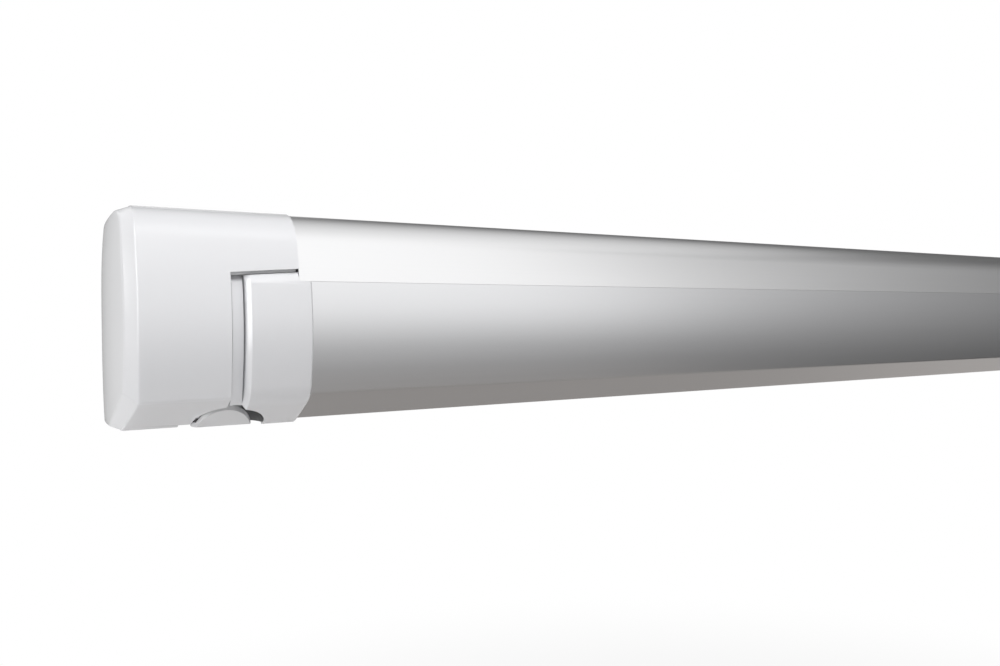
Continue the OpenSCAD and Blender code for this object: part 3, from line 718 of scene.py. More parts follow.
def grid_quads(rows: int, columns: int, wrap_rows: bool, wrap_columns: bool) -> np.ndarray:
    """Quads of a grid of points.

    Args:
        rows: points along the path.
        columns: points round the outline.
        wrap_rows: the last row joins the first.
        wrap_columns: the last column joins the first.

    Returns:
        Four point numbers for each quad.
    """
    row = np.arange(rows if wrap_rows else rows - 1)[:, None]
    column = np.arange(columns if wrap_columns else columns - 1)[None, :]
    next_row = (row + 1) % rows
    next_column = (column + 1) % columns
    quads = [row * columns + column, row * columns + next_column,
             next_row * columns + next_column, next_row * columns + column]
    return np.stack(np.broadcast_arrays(*quads), -1).reshape(-1, 4)


def solid(
    name: str,
    points: np.ndarray,
    wrap_path: bool = False,
    wrap_outline: bool = True,
    closed_ends: bool = True,
) -> bpy.types.Object:
    """A mesh object from a grid of points.

    Args:
        name: the piece's name.
        points: points by row and column.
        wrap_path: the rows form a loop.
        wrap_outline: each row is a closed outline.
        closed_ends: the first and last outline get a face.

    Returns:
        The new object, with its place in its mesh.
    """
    rows, columns = points.shape[:2]
    faces = grid_quads(rows, columns, wrap_path, wrap_outline).tolist()
    if closed_ends and not wrap_path:
        faces.append(list(range(columns))[::-1])
        faces.append(list(range((rows - 1) * columns, rows * columns)))
    mesh = bpy.data.meshes.new(name)
    mesh.from_pydata(points.reshape(-1, 3), [], faces)
    made = bpy.data.objects.new(name, mesh)
    bpy.context.scene.collection.objects.link(made)
    settle(mesh, closed_ends or wrap_path)
    return made


def open_sheet(name: str, points: np.ndarray) -> bpy.types.Object:
    """A mesh object from a grid of points, open along all its edges."""
    return solid(name, points, wrap_outline=False, closed_ends=False)


def settle(mesh: bpy.types.Mesh, closed: bool) -> None:
    """Merges doubles, turns faces outwards and sets which edges look sharp.

    Args:
        mesh: the mesh to finish.
        closed: the mesh is a closed skin whose faces may not all point outwards yet.
    """
    work = bmesh.new()
    work.from_mesh(mesh)
    bmesh.ops.remove_doubles(work, verts=work.verts, dist=MERGE_DISTANCE)
    bmesh.ops.dissolve_degenerate(work, dist=SHORTEST_EDGE, edges=work.edges)
    if closed:
        bmesh.ops.recalc_face_normals(work, faces=work.faces)
    work.to_mesh(mesh)
    work.free()
    mesh.polygons.foreach_set("use_smooth", np.ones(len(mesh.polygons), bool))
    mesh.set_sharp_from_angle(angle=SHARP_TURN)
    mesh.update()


def applied(piece: bpy.types.Object) -> None:
    """Turns a piece's modifiers into its mesh.

    Args:
        piece: the object; it gets the finished mesh.
    """
    depsgraph = bpy.context.evaluated_depsgraph_get()
    finished = bpy.data.meshes.new_from_object(piece.evaluated_get(depsgraph))
    finished.name = piece.name
    piece.modifiers.clear()
    piece.data = finished


def carved(
    piece: bpy.types.Object, tools: Sequence[bpy.types.Object], operation: str = "DIFFERENCE"
) -> bpy.types.Object:
    """Cuts a piece by tool bodies, or joins them to it, and removes them afterwards.

    Args:
        piece: the closed body.
        tools: closed bodies.
        operation: a Boolean modifier's operation.

    Returns:
        The same piece, with its new mesh.
    """
    for tool in tools:
        modifier = piece.modifiers.new("cut", "BOOLEAN")
        modifier.operation = operation
        modifier.solver = "EXACT"
        modifier.object = tool
    applied(piece)
    for tool in tools:
        bpy.data.objects.remove(tool)
    settle(piece.data, False)
    return piece


def soften(
    piece: bpy.types.Object, width: float, segments: int = 2, turn: float = NEW_EDGE_TURN
) -> bpy.types.Object:
    """Rounds a piece's sharp edges.

    Args:
        piece: the object.
        width: of the rounding.
        segments: of the rounding.
        turn: edges that turn by more than this are rounded.

    Returns:
        The same object.
    """
    modifier = piece.modifiers.new("soft_edges", "BEVEL")
    modifier.width = width
    modifier.segments = segments
    modifier.limit_method = "ANGLE"
    modifier.angle_limit = turn
    modifier.use_clamp_overlap = True
    modifier.harden_normals = True
    return piece


def prism_x(name: str, outline: np.ndarray, start: float, end: float) -> bpy.types.Object:
    """A body of one outline in Y and Z, from one x to another."""
    return solid(name, rings([outline, outline], [start, end]))


def prism_y(name: str, outline: np.ndarray, start: float, end: float) -> bpy.types.Object:
    """A body of one outline in X and Z, from one y to another.

    Args:
        name: the body's name.
        outline: rows of x and z.
        start: the first y.
        end: the last y.

    Returns:
        The new object.
    """
    x, z = outline.T
    return solid(name, grid(x, np.array([start, end])[:, None], z))


def lathe(
    name: str, profile: np.ndarray, centre: tuple[float, float], turns: int = 96
) -> bpy.types.Object:
    """A body of revolution about a vertical axis.

    Args:
        name: the body's name.
        profile: closed profile, rows of radius and z.
        centre: x and y of the axis.
        turns: segments round the axis.

    Returns:
        The new object.
    """
    angles = np.linspace(0, 2 * math.pi, turns, endpoint=False)
    return solid(name, turned(profile, centre, angles), wrap_path=True)


def hand_over(piece: bpy.types.Object, body: str, finish: Finish, slot: Slot, *nodes: str) -> None:
    """Dresses a new piece and lets it stand for CAD nodes.

    Args:
        piece: the object.
        body: the CAD body that it rides on.
        finish: its finish.
        slot: the record's material slot; not used.
        nodes: the CAD nodes that it replaces.
    """
    piece.data.materials.clear()
    piece.data.materials.append(finish.material())
    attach(piece, body)
    if nodes:
        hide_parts(*nodes)
    log.info("%s rides on %s, %d faces", piece.name, body, len(piece.data.polygons))


# The object's sub-assemblies


@dataclass
class Cassette:
    """Sizes that the hood, the caps and the lead rail share."""

    # The front: one wide arc between two leaning tangents.
    front_radius: float = 210 * MM
    front_low_tilt: float = math.radians(11.5)
    front_high_tilt: float = math.radians(15)
    front_set: float = 1.9 * MM
    # The top's fall towards the wall, and the upper and rear corners.
    top_slope: float = math.radians(7)
    front_top_radius: float = 32 * MM
    front_top_arc: float = 27.52 * MM
    back_top_radius: float = 22 * MM
    back_low_radius: float = 1.0 * MM
    # The slope below the front, and the crease between them.
    bevel_height: float = 20 * MM
    bevel_depth: float = 38 * MM
    crease_radius: float = 3 * MM
    crease_room: float = 4 * MM
    # The wall, the floor flange's edge, and the gaps between hood, caps and rail.
    wall: float = 3 * MM
    floor_reach: float = 53 * MM
    lip_gap: float = 0.04 * MM
    slit: float = 2.5 * MM
    # How finely the section is drawn.
    arc_steps: int = 20
    longest_side: float = 5 * MM

    def __post_init__(self) -> None:
        """Takes the overall places from the frame."""
        low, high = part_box("cassette_housing")
        self.x_joint = low.x
        self.front, self.floor = low.y, low.z
        self.back, self.top = high.y, -low.z
        self.x_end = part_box("end_cap_left")[0].x
        self.x_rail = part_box("lead_rail")[0].x
        self.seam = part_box("lead_rail")[1].z

    def outline(self, crease_radius: float | None = None) -> Outline:
        """The closed section of the cassette.

        The front is one wide arc between two tangents: the lower one leaves the crease, and
        they meet the radius times the tangent of half their turn above it. The upper one
        ends on the top line, which falls towards the wall and touches a circle of the front
        top radius in the corner of the frame's box.

        Args:
            crease_radius: radius of the lower front edge, if not the usual one.

        Returns:
            The outline, from the lower back corner.
        """
        slope = math.tan(self.top_slope)
        high = self.top - self.front_top_radius * (1 - math.cos(self.top_slope))
        touch = self.front + self.front_top_radius * (1 + math.sin(self.top_slope))
        half_turn = (self.front_low_tilt + self.front_high_tilt) / 2
        reach = self.front_radius * math.tan(half_turn)
        crease = np.array([self.front + self.front_set, self.floor + self.bevel_height])
        leave = np.array([-math.sin(self.front_low_tilt), math.cos(self.front_low_tilt)])
        middle = crease + reach * leave
        lean = np.array([math.sin(self.front_high_tilt), math.cos(self.front_high_tilt)])
        rise = (high - (middle[0] - touch) * slope - middle[1]) / (lean[1] + lean[0] * slope)
        radius = self.crease_radius if crease_radius is None else crease_radius
        fall = math.atan2(self.bevel_depth - self.front_set, self.bevel_height) - self.front_low_tilt
        room = radius * math.tan(fall / 2) + self.crease_room
        return Outline.of(
            (self.back, self.floor, self.back_low_radius),
            (self.back, high - (self.back - touch) * slope, self.back_top_radius),
            (*(middle + lean * rise), self.front_top_arc),
            (*middle, self.front_radius - room / math.tan(half_turn)),
            (*crease, radius),
            (self.front + self.bevel_depth, self.floor, self.crease_radius),
        )

    def section(self, depth: float | np.ndarray = 0.0, crease_radius: float | None = None) -> np.ndarray:
        """Points of the section at an inset, of one count for every inset.

        Args:
            depth: inset of all edges, or of each: back, top, upper front, lower front, slope
                and bottom.
            crease_radius: radius of the lower front edge, if not the usual one.

        Returns:
            Rows of y and z from the lower back corner.
        """
        outline = self.outline(crease_radius)
        plain = outline.points(self.arc_steps)
        return densify(outline.inset(depth).points(self.arc_steps), self.longest_side, plain)

    def split(self, points: np.ndarray, height: float) -> tuple[np.ndarray, np.ndarray]:
        """Cuts a section where its front passes a height.

        Args:
            points: rows of y and z from the lower back corner.
            height: z of the cut.

        Returns:
            The part above, over the top down to the cut, and the part from the cut on.
        """
        in_front = points[:, 0] < (self.front + self.back) / 2
        first = int(np.flatnonzero(in_front & (points[:, 1] < height))[0])
        start, end = points[first - 1], points[first]
        cut = start + (end - start) * (start[1] - height) / (start[1] - end[1])
        return np.vstack([points[:first], cut]), np.vstack([cut, points[first:]])


@dataclass
class Hood:
    """The long metal hood with its back wall and floor flange."""

    cassette: Cassette
    edge: float = 0.1 * MM

    def outline(self) -> np.ndarray:
        """Section of the hood's wall: out along the outside and back along the inside.

        Returns:
            Rows of y and z.
        """
        c = self.cassette
        lip = c.seam + c.lip_gap
        outside = c.split(c.section(), lip)[0]
        inside = c.split(c.section(c.wall), lip)[0]
        low = np.array([(-c.floor_reach, c.floor)])
        high = np.array([(-c.floor_reach, c.floor + c.wall)])
        return np.vstack([low, outside, inside[::-1], high])

    def build(self) -> None:
        """Draws the section along the cassette."""
        c = self.cassette
        piece = prism_x("hood", self.outline(), c.x_joint, -c.x_joint)
        soften(piece, self.edge)
        hand_over(piece, "cassette", HOOD_METAL, Slot.HOOD, "cassette_housing")


@dataclass
class EndCap:
    """A white moulded cap over one end of the cassette.

    The face's drops are at the front, the wall, the top and the foot. The inset's shares go
    by the section's edges: back, top, upper front, lower front, slope and bottom.
    """

    cassette: Cassette
    side: Side
    # The body, which stands proud of the hood.
    proud: float = 1.0 * MM
    wall: float = 3.0 * MM
    body_width: float = 64 * MM
    edge: float = 0.6 * MM
    edge_segments: int = 3
    # The end face, and the bevel round it.
    bulge: float = 2.2 * MM
    face_drops: tuple[float, float, float, float] = (6 * MM, 9 * MM, 3 * MM, 1 * MM)
    face_inset: float = 8.0 * MM
    inset_shares: tuple[float, ...] = (0.0, 0.22, 1.0, 1.0, 1.0, 0.1)
    face_count: int = 14
    face_hole: float = 0.02
    bevel_run: float = 12 * MM
    rim_radius: float = 3.6 * MM
    shoulder_radius: float = 4.4 * MM
    path_steps: int = 8
    # The foot, which flares out; the left cap's is stepped.
    foot_flare: float = 5.5 * MM
    foot_step: float = 1.8 * MM
    foot_width: float = 38 * MM
    # The notch over the lead cap, and what hangs behind its slits.
    notch_near: float = 5.0 * MM
    notch_far: float = 8.5 * MM
    rib_set: float = 14 * MM
    rib_drop: float = 14 * MM
    rib_rise: float = 13 * MM
    rib_lap: float = 0.8 * MM
    rib_reach: float = 8 * MM
    ledge_set: float = 2.5 * MM
    web_set: float = 5 * MM
    web_gap: float = 0.5 * MM
    # The crank's recess in the left cap.
    recess_radius: float = 23.6 * MM
    recess_shift: float = 4.2 * MM
    recess_top: float = -12 * MM

    def __post_init__(self) -> None:
        """Places the seam and the crank's axis from the frame."""
        self.x_seam = self.cassette.x_end + self.body_width
        low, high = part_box("crank_boss")
        self.crank = ((low.x + high.x) / 2, (low.y + high.y) / 2)
        self.recess = (self.crank[0] + self.recess_shift, self.crank[1])

    def shell(self) -> bpy.types.Object:
        """The cap before its cuts.

        A path of x and inset runs from the end face's rim over the bevel and along the body;
        each of its points is the section at that inset. The inside is the same path, moved in
        by the wall. Then the end face is drawn in towards its edges.

        Returns:
            The closed shell, at the left end.
        """
        c = self.cassette
        x_rim = c.x_end - self.bulge
        # The path's two outermost corners only give its ends their direction, and are left out.
        beyond = 2 * self.face_inset
        path = Outline.of(
            (x_rim, beyond, 0.0),
            (x_rim, self.face_inset, self.rim_radius),
            (x_rim + self.bevel_run, -self.proud, self.shoulder_radius),
            (c.x_joint, -self.proud, 0.0),
            (c.x_joint, beyond, 0.0),
        )
        stations = path.points(self.path_steps)
        x, depth = stations[stations[:, 1] < (self.face_inset + beyond) / 2].T
        x_inside = np.minimum(x + self.wall, c.x_joint)
        outside = rings([self.ring(value) for value in depth], x)
        inside = rings([self.ring(value, self.wall) for value in depth], x_inside)[::-1]
        outer_face, inner_face = self.face_rings(outside[0]), self.face_rings(inside[-1])[::-1]
        points = np.concatenate([outer_face, outside, inside, inner_face])
        points[..., 0] += self.drop(points)
        return solid(f"end_cap_{self.side.word}_shell", points)

    def drop(self, points: np.ndarray) -> np.ndarray:
        """How far the end is drawn in at points near it.

        The drop grows with the square of the way from the middle to the front or the wall,
        and with the cube of the way up or down; it fades out over the bevel. Below the crease
        the bevel's other edge moves out, evenly with the depth below it.

        Args:
            points: points by ring and place.

        Returns:
            The shift along X of each point.
        """
        c = self.cassette
        front, wall, top, foot = self.face_drops
        x, y, z = np.moveaxis(points, -1, 0)
        half = (c.back - c.front) / 2
        u = (y - (c.back + c.front) / 2) / half
        v = z / c.top
        way = np.where(u < 0, front, wall) * u**2 + np.where(v > 0, top, foot) * np.abs(v) ** 3
        share = np.clip((x - c.x_end + self.bulge) / self.bevel_run, 0, 1)
        below = np.clip((c.floor + c.bevel_height - z) / c.bevel_height, 0, 1)
        near = x < c.x_end + 2 * self.bevel_run
        return way * (1 - share) - self.foot_flare * below * share * near

    def ring(self, depth: float, thickness: float = 0.0) -> np.ndarray:
        """The section at an inset, of which each edge takes its share.

        Args:
            depth: the inset of the front; negative where the cap stands proud.
            thickness: the wall behind that surface.

        Returns:
            Rows of y and z.
        """
        shares = np.array(self.inset_shares)
        outer = np.where(shares > 0, min(depth, 0.0), 0.0) + shares * max(depth, 0.0)
        if thickness > 0:
            outer = outer + np.where(shares > 0, thickness + self.proud, thickness)
        return self.cassette.section(outer)

    def face_rings(self, rim: np.ndarray) -> np.ndarray:
        """Rings that close an end: the rim drawn in to its middle.

        Args:
            rim: points of the outermost ring.

        Returns:
            Points, the smallest ring first.
        """
        middle = (rim.min(0) + rim.max(0)) / 2
        shares = np.linspace(self.face_hole, 1.0, self.face_count, endpoint=False)
        return middle + (rim - middle) * shares[:, None, None]

    def ribs(self) -> list[bpy.types.Object]:
        """What shuts the view in: a wall behind the upright slit and a web behind the level one.

        Both hang from a ledge.

        Returns:
            The bodies to join to the cap, at the left end.
        """
        c = self.cassette
        front = c.front + self.rib_set
        rear = front + self.wall
        low, ledge = c.seam - self.rib_drop, c.seam + self.rib_rise
        high = ledge + self.wall
        start, end = self.x_seam - self.rib_lap, c.x_joint - self.rib_lap
        shelf, sheet = c.front + self.ledge_set, c.front + self.web_set
        sill = self.slit_floor(np.array([start, end])) + self.web_gap
        web = np.array([(start, sill[0]), (end, sill[1]), (end, high), (start, high)])
        return [
            prism_x("rib_tool", rectangle(front, low, rear, high), start, c.x_joint + self.rib_reach),
            prism_x("ledge_tool", rectangle(shelf, ledge, rear, high), start, end),
            prism_y("web_tool", web, sheet, rear),
        ]

    def slit_floor(self, x: float | np.ndarray) -> float | np.ndarray:
        """Height of the level slit's lower edge, which rises evenly along the notch.

        Args:
            x: one place along the slit, or more.

        Returns:
            Its z at each.
        """
        c = self.cassette
        rise = np.interp(x, (self.x_seam, c.x_joint), (self.notch_near, self.notch_far))
        return c.seam - c.slit + rise

    def cutters(self) -> list[bpy.types.Object]:
        """Bodies that cut the notch for the lead rail, the foot's step and the crank's recess.

        Returns:
            The cutting bodies, at the left end; a right cap has the notch alone.
        """
        c = self.cassette
        below = 2 * c.floor
        notch = np.array([
            (self.x_seam, below),
            (c.x_joint + PAST, below),
            (c.x_joint + PAST, c.seam + self.notch_far),
            (self.x_seam, c.seam + self.notch_near),
        ])
        made = [prism_y("notch_tool", notch, 2 * c.front, -c.floor_reach)]
        if self.side is Side.LEFT:
            low = c.floor - self.proud + self.foot_step
            step = rectangle(c.x_end + self.foot_width, below, self.x_seam + PAST, low)
            made.append(prism_y("step_tool", step, 2 * c.front, -c.floor_reach))
            recess = rectangle(0, below, self.recess_radius, self.recess_top)
            made.append(lathe("recess_tool", recess, self.recess))
        return made

    def build(self) -> None:
        """Cuts the shell, joins its ribs, mirrors it for the right end and rounds its edges."""
        piece = carved(carved(self.shell(), self.cutters()), self.ribs(), "UNION")
        piece.name = f"cap_{self.side.word}"
        if self.side is Side.RIGHT:
            mirror_x(piece)
        soften(piece, self.edge, self.edge_segments)
        hand_over(piece, "cassette", CAP_PLASTIC, Slot.CAP, f"end_cap_{self.side.word}")


def mirror_x(piece: bpy.types.Object) -> None:
    """Turns a left hand piece into its right hand twin.

    Args:
        piece: the object; its mesh changes.
    """
    work = bmesh.new()
    work.from_mesh(piece.data)
    bmesh.ops.scale(work, vec=(-1, 1, 1), verts=work.verts)
    bmesh.ops.reverse_faces(work, faces=work.faces)
    work.to_mesh(piece.data)
    work.free()
    piece.data.update()


@dataclass
class LeadRail:
    """The moving front profile with the channel for the legs and the cloth's groove."""

    cassette: Cassette
    # The panel behind the front, and the legs' channel under its roof.
    panel: float = 12 * MM
    roof: float = 24 * MM
    channel_front: float = -101 * MM
    channel_rear: float = -59 * MM
    rear: float = -56 * MM
    # The two ribs of the cloth's groove.
    rib: float = 2 * MM
    rib_reach: float = 6.5 * MM
    rib_gap: float = 6.8 * MM
    # The rounding of the top's front edge, and of the others.
    crown: float = 0.15 * MM
    crown_steps: int = 6
    edge: float = 0.3 * MM

    def outline(self) -> np.ndarray:
        """Section of the rail; a quarter round joins its top to its front.

        Returns:
            Rows of y and z.
        """
        c = self.cassette
        panel_y = c.front + self.panel
        roof = c.floor + self.roof
        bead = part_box("fabric_bead")
        groove = (bead[0].z + bead[1].z) / 2
        rib_y = panel_y + self.rib_reach
        low_rib = groove - self.rib_gap / 2
        high_rib = groove + self.rib_gap / 2
        behind = np.array([
            (self.rear, c.floor),
            (self.rear, roof),
            (panel_y, roof),
            (panel_y, low_rib - self.rib),
            (rib_y, low_rib - self.rib),
            (rib_y, low_rib),
            (panel_y, low_rib),
            (panel_y, high_rib),
            (rib_y, high_rib),
            (rib_y, high_rib + self.rib),
            (panel_y, high_rib + self.rib),
            (panel_y, c.seam),
        ])
        below = c.split(c.section(), c.seam - self.crown)[1]
        ahead = below[below[:, 0] < self.channel_front]
        turn = np.linspace(math.pi / 2, math.pi, self.crown_steps, endpoint=False)
        arc = self.crown * np.stack([np.cos(turn), np.sin(turn)], 1)
        round_off = below[0] + (self.crown, 0.0) + arc
        channel = np.array([
            (self.channel_front, c.floor),
            (self.channel_front, roof - c.wall),
            (self.channel_rear, roof - c.wall),
            (self.channel_rear, c.floor),
        ])
        return np.vstack([behind, round_off, ahead, channel])

    def build(self) -> None:
        """Draws the section along the rail."""
        c = self.cassette
        piece = prism_x("front_rail", self.outline(), c.x_rail, -c.x_rail)
        soften(piece, self.edge)
        hand_over(piece, "lead_rail", RAIL_METAL, Slot.HOOD, "lead_rail")


@dataclass
class LeadCap:
    """The white cap on one end of the lead rail, with the recessed strip beside its face."""

    cassette: Cassette
    side: Side
    # The face and its edges.
    proud: float = 1.5 * MM
    foot_drop: float = 1.2 * MM
    crease_radius: float = 17 * MM
    chamfer_back: float = 6.5 * MM
    chamfer_up: float = 8.0 * MM
    edge_round: float = 3.2 * MM
    edge_power: float = 1.8
    far_round: float = 1.6 * MM
    round_steps: int = 6
    front_points: int = 48
    edge: float = 0.5 * MM
    # The strip beside the slit, and the groove that parts it from the face.
    face_gap: float = 9.0 * MM
    strip_gap: float = 1.4 * MM
    strip_recess: float = 5.0 * MM
    strip_foot: float = -0.4 * MM
    strip_lap: float = 6 * MM
    groove: float = 0.6 * MM
    groove_floor: float = 10 * MM
    groove_drop: float = 4 * MM
    # The step beside the hood, and the crank's recess.
    step_gap: float = 0.2 * MM
    recess_height: float = 28 * MM

    def build(self) -> None:
        """Makes the face and the strip, cuts their tops along the slit and joins them."""
        c = self.cassette
        cap = EndCap(c, Side.LEFT)
        rail = LeadRail(c)
        face = self.face(rail, cap.x_seam + self.face_gap)
        strip = self.strip(rail, cap.x_seam)
        tools = [self.top_tool(cap)]
        if self.side is Side.LEFT:
            tools.append(self.recess_tool(cap))
        piece = carved(carved(face, [strip], "UNION"), tools)
        piece.name = f"rail_cap_{self.side.word}"
        if self.side is Side.RIGHT:
            mirror_x(piece)
        soften(piece, self.edge)
        hand_over(piece, "lead_rail", CAP_PLASTIC, Slot.CAP, f"lead_cap_{self.side.word}")

    def face(self, rail: LeadRail, x_face: float) -> bpy.types.Object:
        """The cap's face: the rail's front, stood proud, with rounded ends.

        Args:
            rail: the rail that it closes.
            x_face: x of the face's left edge.

        Returns:
            The closed body.
        """
        path = self.end_path(x_face, self.cassette.x_rail)
        outlines = [self.ring(rail, depth) for depth in path[:, 1]]
        return solid("rail_cap_face", rings(outlines, path[:, 0]))

    def ring(self, rail: LeadRail, depth: float, foot_depth: float | None = None) -> np.ndarray:
        """Section of the face with its front at an inset.

        Args:
            rail: the rail that it closes.
            depth: how far the front lies behind the finished face.
            foot_depth: how far the slope and the bottom do, if not less by the foot's drop.

        Returns:
            Rows of y and z.
        """
        foot_depth = depth - self.foot_drop if foot_depth is None else foot_depth
        c = self.cassette
        panel_y = c.front + rail.panel
        top, roof = c.seam, c.floor + rail.roof
        low = c.floor - self.proud + foot_depth
        # Four edges down to the crease, then the slope and the bottom.
        depths = np.array([depth] * 4 + [foot_depth] * 2)
        section = c.section(depths - self.proud, self.crease_radius)
        below = c.split(section, top)[1]
        ahead = resample(below[below[:, 0] < rail.channel_front], self.front_points)
        behind = np.array([
            (rail.channel_front, low),
            (rail.channel_front, roof),
            (panel_y, roof),
            (panel_y, top + self.chamfer_up),
            (ahead[0, 0] + self.chamfer_back, top + self.chamfer_up),
        ])
        return np.vstack([behind, ahead])

    def end_path(self, start: float, end: float) -> np.ndarray:
        """Stations of x and inset: a soft chamfer at the first end and a quarter round at the last.

        The chamfer is a quarter round whose cosine and sine are raised to a power.

        Args:
            start: first x.
            end: last x.

        Returns:
            Rows of x and inset.
        """
        turn = np.linspace(0, math.pi / 2, self.round_steps + 1)
        bow = np.stack([np.cos(turn), np.sin(turn)], 1).clip(0) ** self.edge_power
        near = self.edge_round * (1 - bow)
        far = self.far_round * np.stack([1 - np.cos(turn), 1 - np.sin(turn)], 1)
        return np.concatenate([near + (start, 0.0), far[::-1] * (-1, 1) + (end, 0.0)])

    def strip(self, rail: LeadRail, x_seam: float) -> bpy.types.Object:
        """The recessed strip: the face's section further in, but less so on the slope.

        A narrow groove parts it from the face.

        Args:
            rail: the rail that it belongs to.
            x_seam: x of the end cap's seam.

        Returns:
            The closed body.
        """
        c = self.cassette
        section = self.ring(rail, self.proud + self.strip_recess, self.proud + self.strip_foot)
        x_face = x_seam + self.face_gap
        strip = prism_x("rail_cap_strip", section, x_seam + self.strip_gap, x_face + self.strip_lap)
        low = c.floor + c.bevel_height - self.groove_drop
        groove = rectangle(2 * c.front, low, c.front + self.groove_floor, c.top)
        return carved(strip, [prism_x("groove_tool", groove, x_face - self.groove, x_face)])

    def top_tool(self, cap: EndCap) -> bpy.types.Object:
        """Body above the slit and above the rail's top edge.

        Args:
            cap: the end cap whose notch the slit follows.

        Returns:
            The cutting body.
        """
        c = self.cassette
        top = c.seam
        x_step = c.x_joint - self.step_gap
        x_near, x_far = cap.x_seam - PAST, c.x_rail + PAST
        high = 2 * c.top
        outline = np.array([
            (x_near, cap.slit_floor(x_near)),
            (cap.x_seam, cap.slit_floor(cap.x_seam)),
            (x_step, cap.slit_floor(x_step)),
            (x_step, top),
            (x_far, top),
            (x_far, high),
            (x_near, high),
        ])
        return prism_y("top_tool", outline, 2 * c.front, 0.0)

    def recess_tool(self, cap: EndCap) -> bpy.types.Object:
        """Round body of the crank's recess.

        Args:
            cap: the end cap that holds the recess.

        Returns:
            The cutting body.
        """
        floor = self.cassette.floor
        profile = rectangle(0, 2 * floor, cap.recess_radius, floor + self.recess_height)
        return lathe("recess_tool", profile, cap.recess)


